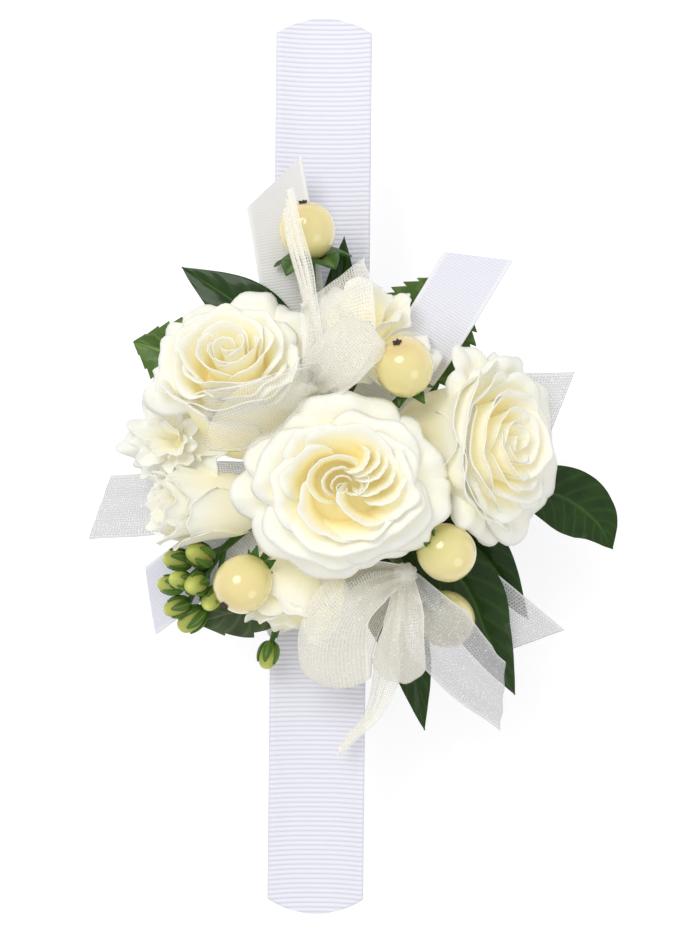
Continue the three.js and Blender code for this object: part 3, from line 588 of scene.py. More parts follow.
# Petals from the outside in. Each row has as many of these terms as it needs, and the rest are 0.
# Angles are in degrees, and lengths are shares of the bloom's half width or of its height.
PETAL_TERMS = ("angle", "radius", "rise", "half spread", "flare", "roll", "shear", "foot radius",
               "foot height", "aside", "ahead")
OPEN_ROSE = [
    (84, 0.97, 0.64, 50, 4, -64, 0.02, 0.12),
    (27, 0.98, 0.64, 46, 2, -64, 0.03, 0.12),
    (-24, 0.98, 0.62, 46, 2, -60, 0.02, 0.12),
    (-72, 0.95, 0.54, 44, 2, -60, 0.03, 0.12),
    (-114, 1.00, 0.58, 56, 4, -60, 0.02, 0.12),
    (188, 0.99, 0.54, 40, 4, -64, 0.03, 0.12),
    (140, 0.90, 0.66, 48, 8, -70, 0.02, 0.12),
    (48, 0.83, 0.76, 58, 18, -60, 0.04, 0.14, 0.07),
    (-42, 0.85, 0.72, 60, 16, -60, 0.03, 0.14, 0.07),
    (243, 0.87, 0.72, 60, 18, -58, 0.04, 0.14, 0.07),
    (160, 0.79, 0.76, 54, 20, -64, 0.03, 0.14, 0.07),
    (104, 0.68, 0.87, 58, 32, -56, 0.05, 0.20, 0.18),
    (24, 0.70, 0.87, 56, 32, -54, 0.05, 0.20, 0.18),
    (-36, 0.72, 0.85, 54, 34, -54, 0.05, 0.20, 0.18),
    (-98, 0.70, 0.86, 60, 34, -54, 0.04, 0.20, 0.18),
    (190, 0.65, 0.88, 56, 34, -56, 0.05, 0.20, 0.18),
    (70, 0.63, 0.93, 62, 42, -50, 0.06, 0.27, 0.33),
    (2, 0.64, 0.92, 54, 44, -48, 0.03, 0.30, 0.33),
    (-62, 0.60, 0.90, 52, 44, -46, 0.03, 0.28, 0.33),
    (150, 0.53, 0.94, 50, 46, -48, 0.03, 0.26, 0.33),
    (215, 0.49, 0.93, 62, 50, -46, 0.00, 0.28, 0.36, 0.10, -0.10),
    (-40, 0.37, 0.945, 56, 56, -38, 0.00, 0.20, 0.38, 0.22, 0.16),
    (-48, 0.31, 0.95, 58, 58, -36, 0.00, 0.16, 0.38, 0.18, 0.22),
    (-44, 0.27, 0.955, 58, 58, -36, 0.00, 0.13, 0.40, 0.16, 0.31),
    (-38, 0.25, 0.96, 58, 58, -36, 0.00, 0.12, 0.40, 0.10, 0.35),
    (-32, 0.22, 0.96, 60, 60, -36, 0.00, 0.10, 0.40, 0.03, 0.35),
    (144, 0.28, 0.955, 118, 60, -38, 0.00, 0.16, 0.40, -0.03, 0.06),
    (232, 0.34, 0.935, 72, 58, -38, 0.00, 0.18, 0.40, 0.30, -0.05),
    (150, 0.18, 0.94, 96, 62, -34, 0.00, 0.10, 0.40, 0.00, 0.04),
    (-30, 0.16, 0.935, 80, 64, -30, 0.02, 0.09, 0.40, 0.08, 0.06),
    (120, 0.11, 0.93, 104, 66, -30, 0.02, 0.06, 0.42, 0.02, 0.02),
    (-60, 0.09, 0.925, 90, 68, -26, 0.02, 0.05, 0.42, 0.09, 0.01),
    (200, 0.05, 0.92, 150, 76, -20, 0.02, 0.02, 0.42),
]
SIDE_ROSE = [
    (186, 1.00, 0.66, 40, 8, -60, 0.03, 0.14),
    (140, 1.00, 0.70, 46, 6, -58, 0.02, 0.12),
    (90, 1.15, 0.74, 50, 2, -54, 0.02, 0.12),
    (40, 1.15, 0.70, 48, 4, -54, 0.02, 0.12),
    (-6, 1.02, 0.66, 44, 8, -60, 0.02, 0.14),
    (226, 0.85, 0.83, 70, 60, -52, 0.04, 0.46),
    (312, 0.87, 0.85, 70, 60, -52, 0.04, 0.46),
    (268, 0.86, 0.90, 88, 64, -46, 0.04, 0.47),
    (165, 0.84, 0.80, 56, 22, -56, 0.04, 0.18, 0.07),
    (108, 0.86, 0.80, 56, 18, -54, 0.03, 0.16, 0.07),
    (50, 0.84, 0.80, 56, 20, -54, 0.03, 0.16, 0.07),
    (345, 0.82, 0.80, 56, 26, -56, 0.04, 0.18, 0.07),
    (215, 0.70, 0.88, 74, 52, -56, 0.05, 0.32, 0.18),
    (295, 0.70, 0.88, 76, 52, -56, 0.05, 0.32, 0.18),
    (30, 0.66, 0.90, 70, 40, -48, 0.05, 0.24, 0.22),
    (125, 0.67, 0.90, 70, 40, -50, 0.05, 0.24, 0.22),
    (255, 0.58, 0.94, 84, 58, -50, 0.06, 0.30, 0.30),
    (170, 0.52, 0.95, 80, 54, -48, 0.06, 0.26, 0.33),
    (340, 0.50, 0.96, 80, 54, -46, 0.06, 0.24, 0.37),
    (72, 0.48, 0.97, 76, 52, -46, 0.06, 0.22, 0.37),
    (205, 0.37, 0.97, 90, 60, -44, 0.07, 0.19, 0.43),
    (318, 0.35, 0.97, 90, 60, -44, 0.07, 0.18, 0.43),
    (85, 0.31, 0.97, 92, 62, -42, 0.07, 0.15, 0.44),
    (222, 0.25, 0.965, 96, 64, -38, 0.06, 0.12, 0.44),
    (345, 0.20, 0.96, 100, 68, -34, 0.06, 0.10, 0.44),
    (115, 0.14, 0.955, 110, 72, -28, 0.05, 0.07, 0.46),
    (255, 0.08, 0.95, 130, 76, -20, 0.04, 0.03, 0.46),
]
FRILLED = [
    (190, 1.08, 0.38, 50, 0, -10, 0.03, 0.08),
    (245, 0.96, 0.40, 48, 0, -10, 0.03, 0.08),
    (312, 1.16, 0.42, 48, 2, -10, 0.03, 0.08),
    (5, 0.96, 0.50, 46, 6, -10, 0.03, 0.08),
    (68, 0.96, 0.62, 48, 8, -10, 0.03, 0.08),
    (130, 1.02, 0.52, 48, 4, -10, 0.03, 0.08),
    (98, 0.72, 0.86, 54, 28, -14, 0.04, 0.08, 0.04),
    (18, 0.66, 0.86, 52, 32, -14, 0.04, 0.08, 0.04),
    (202, 0.76, 0.78, 54, 24, -14, 0.04, 0.08, 0.04),
    (278, 0.66, 0.76, 52, 28, -14, 0.04, 0.08, 0.04),
    (150, 0.50, 1.00, 62, 44, -14, 0.04, 0.07, 0.11),
    (322, 0.46, 0.96, 60, 44, -14, 0.04, 0.07, 0.11),
    (60, 0.36, 1.02, 64, 52, -10, 0.04, 0.05, 0.15),
    (232, 0.34, 0.98, 64, 52, -10, 0.04, 0.05, 0.15),
]
CUPPED = [
    (48, 0.96, 0.84, 66, 66, -74, 0.10, 0.62),
    (150, 0.90, 0.78, 70, 72, -70, 0.06, 0.66),
    (245, 0.92, 0.80, 70, 72, -70, 0.08, 0.64),
    (-36, 0.88, 0.72, 66, 70, -74, 0.10, 0.60),
    (10, 0.90, 0.93, 56, 44, -40, 0.06, 0.52, 0.15),
    (100, 0.86, 0.96, 58, 44, -40, 0.06, 0.52, 0.15),
    (190, 0.86, 0.94, 60, 46, -40, 0.05, 0.52, 0.15),
    (290, 0.88, 0.92, 60, 44, -40, 0.06, 0.52, 0.15),
    (85, 0.72, 1.00, 56, 40, -30, 0.05, 0.42, 0.22),
    (205, 0.72, 0.98, 56, 40, -30, 0.05, 0.42, 0.22),
    (325, 0.70, 1.00, 56, 40, -30, 0.05, 0.42, 0.22),
    (40, 0.42, 0.99, 80, 60, -20, 0.05, 0.20, 0.30),
    (220, 0.34, 0.98, 80, 60, -20, 0.05, 0.18, 0.30),
]
BLOOMS = {
    # place, way, (width, span, height), petals, and what sets the bloom apart
    "rose_center": ((5.4, -4.6, 14), (0.02, -0.01, 1), (52, 45, 34), OPEN_ROSE, {"seed": 4, "wave": 0.8}),
    "rose_left": ((-18, 9.5, 6), (-0.12, 0.56, 0.82), (42, 40, 37), SIDE_ROSE, {"seed": 7}),
    "rose_right": ((25.5, 5, 5), (0.76, 0.05, 0.65), (48, 49, 34), SIDE_ROSE,
                   {"seed": 3, "spin": -85, "tone": 0.85}),
    "rose_top": ((11, 25, 9), (0.05, 0.62, 0.78), (34, 30, 24), FRILLED,
                 {"seed": 12, "wave": 1.6, "frill": 0.015, "core": 0.6, "tone": 0.6}),
    "rose_lower": ((-2, -19, 9), (-0.3, -0.88, 0.25), (29, 27, 24), CUPPED,
                   {"seed": 9, "spin": 20, "wave": 1.6, "frill": 0.012, "tone": 0.8}),
    "floret_left": ((-34.3, 5.5, 8), (-0.3, 0.05, 0.95), (26, 22.5, 14), FRILLED,
                    {"seed": 5, "wave": 2.6, "frill": 0.03, "core": 0.35, "tone": 0.3}),
    "floret_lower_left": ((-18, -10, 12), (-0.93, -0.03, 0.36), (21, 21, 25), CUPPED,
                          {"seed": 8, "wave": 1.2, "frill": 0.01, "tone": 0.4}),
}
# Side view of the filling under the inner petals, as shares of half width and height
FILLING = [(0.0, 0.64), (0.12, 0.64), (0.25, 0.62), (0.36, 0.57), (0.44, 0.48), (0.47, 0.36), (0.38, 0.18),
           (0.14, 0.04), (0.0, 0.02)]
PETAL_ROWS, PETAL_COLS = 28, 31
FOOT_SLOPE, STEEP_SLOPE = math.radians(30), math.radians(80)
ROLL_START = 0.84
WAVE_DEPTH, STREAK_DEPTH, DENT_DEPTH = 0.036, 0.004, 0.07
FRILL_BEATS = 3.0


def petals(table, width, span, height, seed, spin=0.0, wave=1.0, frill=0.0, core=1.0, tone=1.0):
    """Petals of a bloom about +Z, over a filling of their own colour.

    Across a petal u runs from -1 to 1 and along it s from its foot to its rim, shorter at the sides so that
    the outline is round. The petal's side view turns by an angle psi(s) that climbs from the foot's slope
    to the steep one, eases to the flare and rolls over at the rim, most at its sides. Radius and height are
    the running sums of cos psi and sin psi, scaled to the petal's radius and height. One side of each petal
    lies further out than the other.
    """
    rng = np.random.default_rng(seed)
    rows = [row + (0.0,) * (len(PETAL_TERMS) - len(row)) for row in table]
    angle, radius, rise, spread, flare, roll, shear, foot, base, aside, ahead = (
        np.array(c, float)[:, None, None] for c in zip(*rows))

    def near(low, high):
        """One random value between low and high for each petal."""
        return rng.uniform(low, high, (len(table), 1, 1))

    radius, rise = radius * near(0.97, 1.02), rise * near(0.98, 1.01)
    middle = np.radians(angle + near(-5, 5) + spin)
    spread = np.radians(spread * near(0.94, 1.06))
    flare, roll = np.radians(flare + near(-6, 6)), np.radians(roll * near(0.8, 1.15))
    u = np.linspace(-1, 1, PETAL_COLS)[None, None]
    v = np.linspace(0, 1, PETAL_ROWS)[None, :, None]
    m = np.abs(u)
    reach = 1.0 - 0.06 * m**2 - 0.32 * m**6
    s = v * reach
    psi = FOOT_SLOPE + (STEEP_SLOPE - FOOT_SLOPE) * smooth(s / 0.35)
    psi = psi + (flare - STEEP_SLOPE) * smooth((s - 0.3) / 0.5)
    psi = psi + roll * (0.6 + 0.4 * m) * smooth((v - ROLL_START) / (1 - ROLL_START))
    step = reach / (PETAL_ROWS - 1)
    out = np.cumsum(np.cos(psi) * step, axis=1)
    up = np.cumsum(np.sin(psi) * step, axis=1)
    out, up = out - out[:, :1], up - up[:, :1]
    widest, tallest = (side[:, :, PETAL_COLS // 2].max(axis=1)[:, None, None] for side in (out, up))
    phase = rng.uniform(0, 2 * np.pi, (5, len(table), 1, 1))
    open_share = np.clip(radius * 1.6 - 0.25, 0.12, 1.0)
    soft = wave * WAVE_DEPTH * s**3 * open_share * (1.0 + 0.5 * (radius > 0.9))
    dent = near(0.0, DENT_DEPTH) * open_share * np.exp(-(((u - near(-0.4, 0.4)) / 0.22) ** 2))
    r = foot + (radius - foot) * out / widest + shear * u * s
    r = r + soft * (np.sin(2.1 * np.pi * u + phase[0]) + 0.4 * np.sin(4.3 * np.pi * u + phase[3]))
    r = r + frill * s**4 * np.sin(FRILL_BEATS * np.pi * u + phase[2])
    r = r + STREAK_DEPTH * wave * s**2 * np.sin(7.3 * np.pi * u + phase[2])
    r = r + dent * s**7 * (radius > 0.45)
    z = base + (rise - base) * up / tallest
    z = z + soft * (np.sin(1.7 * np.pi * u + phase[1]) + 0.35 * np.sin(4.7 * np.pi * u + phase[4]))
    z = z + frill * 1.5 * s**4 * np.cos(FRILL_BEATS * np.pi * u + phase[2] * 2)
    turn = middle + spread * u * (0.5 + 0.5 * smooth(s / 0.5))
    lean = math.radians(spin)
    x = r * np.cos(turn) + aside * math.cos(lean) - ahead * math.sin(lean)
    y = r * np.sin(turn) + aside * math.sin(lean) + ahead * math.cos(lean)
    points = np.stack([x * width / 2, y * span / 2, z * height], -1)
    # The warmth mark runs warmer towards each petal's foot and on inner petals: partly the petals' own
    # colour, partly painted warm light and shade in the hollows; it also sets the painted glow.
    inner = 1.0 - radius
    low, high = 0.42 + 0.20 * inner, 0.97
    warmth = tone * ((1.0 - smooth((v - low) / (high - low))) * (0.72 + 0.24 * inner) + 0.08 * inner + 0.03)
    return together([Sheet(points, warmth=warmth), filling(width * core, span * core, height * core)])


def filling(width, span, height):
    """Round body under the inner petals, warmest at its top: the listed side view turned about +Z."""
    side = run_through(FILLING, 33)[::-1]
    turn = around(40)[None]
    points = np.stack([side[:, :1] * np.cos(turn) * width / 2, side[:, :1] * np.sin(turn) * span / 2,
                       side[:, 1:] * height + 0 * turn], -1)
    # The filling's warmth mark, highest at its top, gives it the warm petal colour and the painted glow
    # there.
    depth = 0.3 + 0.65 * smooth((side[:, 1:] - 0.35) / 0.15) + 0 * turn
    return Sheet(points, closed=True, warmth=depth)


def make_blooms(prefix, settings):
    """Petals of each bloom whose name starts with the prefix, set at its place in the bouquet."""
    finish = finish_of(petal_material, "petal", settings)
    for name, (place, way, size, table, apart) in BLOOMS.items():
        if name.startswith(prefix):
            sheet = petals(table, *size, **apart).moved(np.asarray(place) + BOUQUET, way)
            make_piece(name + "_petals", sheet, finish, [name], wall=settings.thickness / MM)


class CORSAGE_OT_roses(bpy.types.Operator):
    """Make the petals of the five roses."""
    bl_idname = "corsage.roses"
    bl_label = "Roses"

    def execute(self, context):
        make_blooms("rose", context.scene.corsage_blooms)
        return {"FINISHED"}


class CORSAGE_OT_florets(bpy.types.Operator):
    """Make the two florets at the left, one frilled and one cupped."""
    bl_idname = "corsage.florets"
    bl_label = "Florets"

    def execute(self, context):
        make_blooms("floret", context.scene.corsage_blooms)
        return {"FINISHED"}


# Leaves

LEAVES = {
    # route from the bundle, width, share of the route that is stalk, kind, teeth
    "leaf_upper_left": (((-9, 20, 6), (-18, 38, 9), (-35.6, 50.5, 8)), 19.0, 0.22, "glossy", 0),
    "leaf_left": (((-12, 12, 6), (-30, 25, 8.5), (-48.0, 31.5, 6)), 25.0, 0.22, "toothed", 17),
    "leaf_top": (((2, 16, 5), (4.5, 38, 5.5), (5.8, 59, 6)), 13.0, 0.22, "glossy", 0),
    "leaf_upper_right": (((11, 15, 6), (25, 33, 8), (36.5, 50, 6.5)), 29.0, 0.22, "toothed", 17),
    "leaf_right": (((18, -2, 2), (42, -3.5, -1.5), (61, -6.5, -2), (71.5, -12.8, -2.5), (77, -20.9, -3.4)),
                   17.0, 0.45, "glossy", 0),
    "leaf_lower_right": (((16, -12, 6), (36, -28, 9), (43.5, -43, 7), (51.5, -59, -1)),
                         17.0, 0.22, "glossy", 0),
    "leaf_lower_right_back": (((17, -8, 3), (40, -20, 2), (55, -39.5, -2)), 17.0, 0.22, "glossy", 0),
    "leaf_bottom": (((8, -18, 5), (22, -44, 6.5), (28, -68.3, 0.5)), 14.0, 0.22, "glossy", 0),
    "leaf_lower_left": (((-6, -20, 5), (-15, -34, 6.5), (-31, -41, 5)), 17.0, 0.3, "downy", 6),
}
LEAF_FINISHES = {
    # vein colour, roughness, coat
    "glossy": ((0.05, 0.115, 0.02), 0.3, 0.22),
    "toothed": ((0.24, 0.34, 0.10), 0.45, 0.15),
    "downy": ((0.2, 0.25, 0.15), 0.75, 0.0),
}
LEAF_WALL = 0.45
STALK_HALF = 0.7
TOOTH_DEPTH = 0.16
SIDE_VEINS, VEIN_SLANT, VEIN_LIFT, MIDRIB_DEPTH = 9.0, 1.6, 0.16, 0.35


def blade(route, width, stalk, teeth=0, fold=0.18, arch=0.10, ripple=0.0, belly=0.8, rows=145, cols=33):
    """Leaf along a run from its foot to its tip.

    The half width is a sine of the share along the blade, cut into small teeth where asked; across the leaf
    the two halves fold up from the midrib, side veins lift the surface in slanting waves and the edge curls.
    """
    spine = run_through(route, rows)
    along = unit(np.gradient(spine, axis=0))
    side = unit(np.cross(along, [0.0, 0.0, 1.0]))
    over = np.cross(side, along)
    t = np.linspace(0, 1, rows)[:, None]
    b = np.clip((t - stalk) / (1 - stalk), 0, 1)
    full = np.sin(np.pi * b**belly) ** 0.95
    half = np.maximum(STALK_HALF * np.minimum(1.0, 1.25 - t), width / 2 * full)
    if teeth:
        half = half * (1.0 - TOOTH_DEPTH * ((b * teeth) % 1.0) * (full > 0.15))
    a = np.linspace(-1, 1, cols)[None]
    m = np.abs(a)
    waves = np.abs(((b * SIDE_VEINS - m * VEIN_SLANT) % 1.0) - 0.5) * 2.0
    branches = 0.4 * smooth((waves - 0.7) / 0.3) * (m > 0.05)
    vein = np.where(full > 0.1, np.maximum(np.exp(-(a / 0.06) ** 2), branches), 0.0)
    lift = fold * half * m - arch * half * m**2.5 + VEIN_LIFT * full * (waves - 0.5) * (m > 0.04)
    lift = lift - MIDRIB_DEPTH * full * np.exp(-(a / 0.09) ** 2)
    lift = lift + ripple * full * m**2 * np.sin(9.0 * np.pi * b + 2.0 * a)
    points = spine[:, None] + (a * half)[..., None] * side[:, None] + lift[..., None] * over[:, None]
    return Sheet(points, vein=vein)


class CORSAGE_OT_leaves(bpy.types.Operator):
    """Make the leaves under the flowers."""
    bl_idname = "corsage.leaves"
    bl_label = "Leaves"

    def execute(self, context):
        greens = context.scene.corsage_greens
        for name, (route, width, stalk, kind, teeth) in LEAVES.items():
            finish = finish_of(plant_material, kind + "_leaf", getattr(greens, kind), *LEAF_FINISHES[kind])
            sheet = blade([HEART, *route], width, stalk, teeth, ripple=0.25 if teeth else 0.12,
                          belly=1.3 if teeth else 0.8)
            make_piece(name + "_blade", sheet.moved(BOUQUET), finish, [name], wall=LEAF_WALL)
        return {"FINISHED"}


# Berries, calyxes and buds

CALYXES = {"calyx_center": "rose_center", "calyx_left": "rose_left", "calyx_right": "rose_right"}
SEPALS = 5
BERRIES = {
    # middle, way of the tip, sepal reach, sepal width as a share of that reach
    "berry_top": ((-3.4, 58.6, 17.4), (-0.15, 0.93, 0.33), 10.5, 0.85),
    "berry_upper": ((20.7, 24.0, 33.0), (-0.25, 0.75, 0.6), 5.5, 0.62),
    "berry_left": ((-18.0, -29.0, 24.5), (-0.55, -0.65, 0.4), 5.0, 0.62),
    "berry_right": ((31.6, -20.7, 26.0), (0.7, -0.5, -0.45), 3.6, 0.62),
    "berry_lower": ((32.5, -38.1, 14.0), (0.5, -0.6, -0.6), 3.6, 0.62),
}
# Angles of the dry prongs at a berry's tip
PRONGS = (0.3, 1.5, 2.8, 4.0, 5.3)
BUD_WIDTH, BUD_LENGTH = 5.2, 7.4
# Share of a berry's or bud's length where it is widest
BERRY_FULL, BUD_FULL = 0.52, 0.48
# Radii of stems
BERRY_STEM, CALYX_STEM, BUD_STALK = 0.95, 2.0, 0.7
SEPAL_WALL, BUD_SEPAL_WALL = 0.4, 0.3
BUDS = {
    # end of the main stalk, then middle, way and size of each bud
    "bud_spray": ((-33, -29, 11), [
        ((-35.6, -24.0, 13.0), (-0.9, 0.1, 0.3), 1.0),
        ((-29.8, -22.5, 15.5), (-0.6, 0.35, 0.7), 1.1),
        ((-37.6, -30.6, 10.5), (-0.9, 0.15, 0.3), 0.9),
        ((-34.6, -29.0, 15.5), (-0.6, 0.2, 0.8), 0.9),
        ((-30.6, -30.0, 15.5), (-0.35, -0.1, 0.9), 1.05),
        ((-35.9, -36.3, 10.0), (-0.85, -0.25, 0.35), 0.95),
        ((-32.3, -39.6, 8.0), (-0.7, -0.6, 0.2), 1.1),
        ((-26.8, -34.0, 12.0), (-0.3, -0.5, 0.8), 1.0),
    ]),
    "bud_lower": ((-11, -44, 6.5), [((-12.6, -48.8, 6.8), (-0.2, -0.9, 0.3), 0.95)]),
}


def stem_finish(greens):
    """Material of stems and sepals."""
    return finish_of(plant_material, "stem", greens.stem, (0.14, 0.22, 0.06), roughness=0.4, coat=0.2)


def sepal_star(reach, width, rise, droop, start=0.0):
    """Ring of pointed sepals about +Z: each is a blade that leaves the axis, rises and droops to its tip."""
    angles = start + np.arange(SEPALS) * 2 * np.pi / SEPALS
    profile = ((0.6, 0.0), (reach * 0.55, rise), (reach, droop))
    routes = [[(np.cos(a) * x, np.sin(a) * x, z) for x, z in profile] for a in angles]
    return together([blade(route, width, stalk=0.02, fold=0.2, arch=0.0, rows=13, cols=7)
                     for route in routes])


def berry_tip(tall):
    """Short dry prongs that spread from the top of a berry."""
    routes = [[(r * np.cos(a), r * np.sin(a), tall + z) for r, z in ((0, -0.6), (0.5, 0.05), (1.1, 0.4))]
              for a in PRONGS]
    return together([tube(route, (0.65, 0.5, 0.2), count=8, sides=7) for route in routes])


def calyx():
    """Sepals and hip under a rose, with the hip's widest place below the petals."""
    hip = egg(width=8.5, height=9.4, rows=24, sides=28).moved((0, 0, -7.2))
    hip.marks = {"vein": np.zeros(len(hip.points))}
    star = sepal_star(reach=12.0, width=4.6, rise=-0.4, droop=-2.4)
    return together([star.moved((0, 0, -1.2)), hip])


class CORSAGE_OT_berries(bpy.types.Operator):
    """Make the berries with their tips, sepals and stems, and the green parts under the main roses."""
    bl_idname = "corsage.berries"
    bl_label = "Berries and calyxes"

    def execute(self, context):
        greens = context.scene.corsage_greens
        skin = finish_of(berry_material, "berry", greens)
        green = stem_finish(greens)
        dry = finish_of(plain_material, "berry_tip", (0.045, 0.03, 0.02), roughness=0.7)
        wide, tall = greens.berry_width / MM, greens.berry_length / MM
        for name, (middle, way, reach, broad) in BERRIES.items():
            way = unit(way)
            foot = np.asarray(middle) - way * tall / 2 + BOUQUET
            fruit = egg(wide, tall, rows=36, sides=44, full=BERRY_FULL).moved(foot, way)
            make_piece(name + "_fruit", fruit, skin, [name])
            make_piece(name + "_tip", berry_tip(tall).moved(foot, way), dry)
            star = sepal_star(reach, reach * broad, rise=1.2, droop=-0.6, start=0.4)
            star.moved(foot - way * 0.4, way)
            make_piece(name + "_sepals", star, green, wall=SEPAL_WALL)
            bend = (STEM_START + foot) / 2 + np.array([0.0, 0.0, -2.0])
            stem = tube([STEM_START, bend, foot + way * 0.5], BERRY_STEM, count=30)
            make_piece(name + "_stem", stem, green)
        for name, rose in CALYXES.items():
            place, way = np.asarray(BLOOMS[rose][0]) + BOUQUET, unit(BLOOMS[rose][1])
            whole = calyx().moved(place, way)
            whole.points[:, 2] = np.maximum(whole.points[:, 2], TABLE_GAP)
            make_piece(name + "_green", whole, green, [name])
            neck = place - way * 5.0
            stem = tube([STEM_START, (STEM_START + neck) / 2, neck], CALYX_STEM, count=20, sides=14)
            make_piece(name + "_stem", stem, green)
        return {"FINISHED"}


def bud_sheets(buds):
    """Buds as eggs, and the sepals that hold each one: patches of a slightly wider egg."""
    eggs, holders = [], []
    t = np.linspace(0.02, 1, 12)[:, None]
    a = np.linspace(-1, 1, 9)[None]
    height = 0.72 * t
    for middle, way, size in buds:
        foot = np.asarray(middle) + BOUQUET - unit(way) * 3.8 * size
        bud = egg(BUD_WIDTH * size, BUD_LENGTH * size, rows=18, sides=20, full=BUD_FULL)
        eggs.append(bud.moved(foot, way))
        for k in range(SEPALS):
            turn = k * 2 * np.pi / SEPALS + 0.3 + a * 0.48 * np.sin(np.pi * (0.12 + 0.86 * t)) ** 0.8
            radius = 2.7 * size * np.sin(np.pi * height**0.95) ** 0.85 * (1.08 + 0.06 * t - 0.08 * a**2)
            rise = 3.8 * size * (1 - np.cos(np.pi * height)) - 0.3
            points = np.stack([radius * np.cos(turn), radius * np.sin(turn), rise + 0 * turn], -1)
            holders.append(Sheet(points, vein=0.6 * np.exp(-(a / 0.12) ** 2) + 0 * t).moved(foot, way))
    return together(eggs), together(holders)


def bud_stalks(buds, end):
    """Main stalk from the stems to its end, and a thin stalk that leaves it for each bud."""
    stalks = [tube([STEM_START, (STEM_START + end) / 2 + (0, 0, 1.0), end], (1.3, 1.1, 0.8))]
    for middle, way, size in buds:
        foot = np.asarray(middle) + BOUQUET - unit(way) * 3.4 * size
        share = np.clip(0.75 * np.linalg.norm(middle) / np.linalg.norm(end), 0.3, 0.95)
        root = STEM_START + (end - STEM_START) * share
        stalks.append(tube([root, (root + foot) / 2 + (0, 0, 0.6), foot], BUD_STALK, count=14, sides=8))
    return together(stalks)


class CORSAGE_OT_buds(bpy.types.Operator):
    """Make the stock buds, their sepals and their stalks."""
    bl_idname = "corsage.buds"
    bl_label = "Buds"

    def execute(self, context):
        greens = context.scene.corsage_greens
        skin = finish_of(bud_material, "bud", greens)
        wrap = finish_of(plant_material, "bud_sepal", (0.075, 0.17, 0.02), (0.22, 0.32, 0.06),
                         roughness=0.4, coat=0.2)
        green = stem_finish(greens)
        for name, (end, buds) in BUDS.items():
            heads, holders = bud_sheets(buds)
            make_piece(name + "_heads", heads, skin, [name])
            make_piece(name + "_sepals", holders, wrap, wall=BUD_SEPAL_WALL)
            make_piece(name + "_stalks", bud_stalks(buds, np.asarray(end) + BOUQUET), green)
        return {"FINISHED"}


# Ribbons

# Each ribbon has the slant of its cut end, then its stops: x, y and z of a place, x, y and z of the way
# that its width lies, and the share of its width
BOWS = {
    "bow_upper": {
        "tail": (6.5, [
            (-2.5, 18, 23, 1, 0.2, 0, 0.25), (1, 21, 31, 1, 0.1, 0.1, 0.6),
            (4.5, 30.7, 34.5, 1, 0.05, 0, 1), (4.2, 40.4, 33, 1, 0, 0, 1), (3.2, 45, 29.5, 1, 0, 0, 1),
        ]),
        "loop": (0, [
            (-3, 18, 23.5, 0.7, -0.7, 0, 0.25), (1, 21.5, 35, 0.66, -0.7, 0.2, 0.75),
            (7, 27.5, 40, 0.66, -0.7, 0.25, 1), (13, 33, 38.5, 0.66, -0.7, 0.3, 0.95),
            (11.5, 31, 34, 0.66, -0.7, 0.2, 0.85), (0, 20, 25, 0.66, -0.7, 0, 0.25),
        ]),
        "thin_tail": (2.5, [
            (-3, 18, 23.5, 0.5, 0, 0.9, 0.25), (-1, 30, 33.5, 0.5, 0, 0.9, 0.36),
            (-3, 44, 35, 0.5, 0, 0.9, 0.4), (-6.3, 55.8, 33.5, 0.45, 0, 0.9, 0.4),
            (-7.7, 64.5, 32, 0.4, 0, 0.9, 0.32),
        ]),
        "left_loop": (0, [
            (-3, 18, 23.5, 0.6, 0.6, 0.4, 0.25), (-0.5, 20.5, 33, 0.3, 0.8, 0.5, 0.45),
            (-4, 19.5, 41, 0.1, 0.85, 0.45, 0.7), (-12, 15, 43.5, 0.1, 0.8, 0.55, 1),
            (-20, 11, 42.5, 0.1, 0.78, 0.6, 1.2), (-26, 9.4, 39.5, 0.1, 0.78, 0.6, 1.15),
            (-20.5, 10.6, 40.5, 0.1, 0.78, 0.6, 1.15), (-12, 14.4, 41.3, 0.1, 0.8, 0.55, 0.95),
            (-4.5, 18.8, 38.5, 0.1, 0.85, 0.45, 0.6), (-2, 19.5, 31, 0.3, 0.8, 0.5, 0.35),
        ]),
    },
    "bow_lower": {
        "left_loop": (0, [
            (21.5, -26.8, 20, 0.35, -0.9, 0.3, 0.25), (13, -28.5, 27, 0.4, -0.88, 0.3, 0.7),
            (4.2, -35.5, 28.5, 0.8, -0.6, 0.2, 1), (0.5, -45.5, 26, 0.97, -0.25, 0, 1.15),
            (1.6, -55, 16, 0.95, -0.3, 0, 1.22), (4, -48, 8, 0.95, -0.3, 0, 1.1),
            (12, -36, 9, 0.8, -0.4, 0.2, 0.7), (20, -28.5, 17.5, 0.6, -0.6, 0.3, 0.25),
        ]),
        "loop": (0, [
            (22, -27.5, 20.5, 0.8, 0, 0.6, 0.25), (21.5, -38, 28.5, 0.85, -0.1, 0.5, 0.7),
            (21, -48, 26, 0.85, -0.1, 0.5, 0.85), (20.5, -53.5, 18, 0.85, -0.1, 0.5, 0.9),
            (21, -46.5, 11.5, 0.85, -0.1, 0.5, 0.75), (22.3, -32, 16, 0.8, 0, 0.6, 0.25),
        ]),
        "thin_tail": (2, [
            (21.5, -28, 20, 0.5, 0.3, 0.8, 0.25), (18.5, -43.5, 18, 0.5, 0.3, 0.8, 0.45),
            (17.5, -54, 12, 0.5, 0.3, 0.8, 0.5), (14, -64, 6.5, 0.5, 0.3, 0.8, 0.45),
            (6.5, -72.5, 4, 0.5, 0.4, 0.75, 0.35),
        ]),
        "tail": (-7.3, [
            (23, -27.5, 20, 0.8, 0.6, 0, 0.25), (29.5, -39.5, 24.5, 0.72, 0.68, 0.1, 0.95),
            (38.5, -50.5, 17, 0.65, 0.76, 0.1, 0.9), (47.5, -58.3, 9, 0.65, 0.76, 0.1, 0.8),
        ]),
    },
}
SHEER_WALL, RIBBED_WALL = 0.15, 0.35
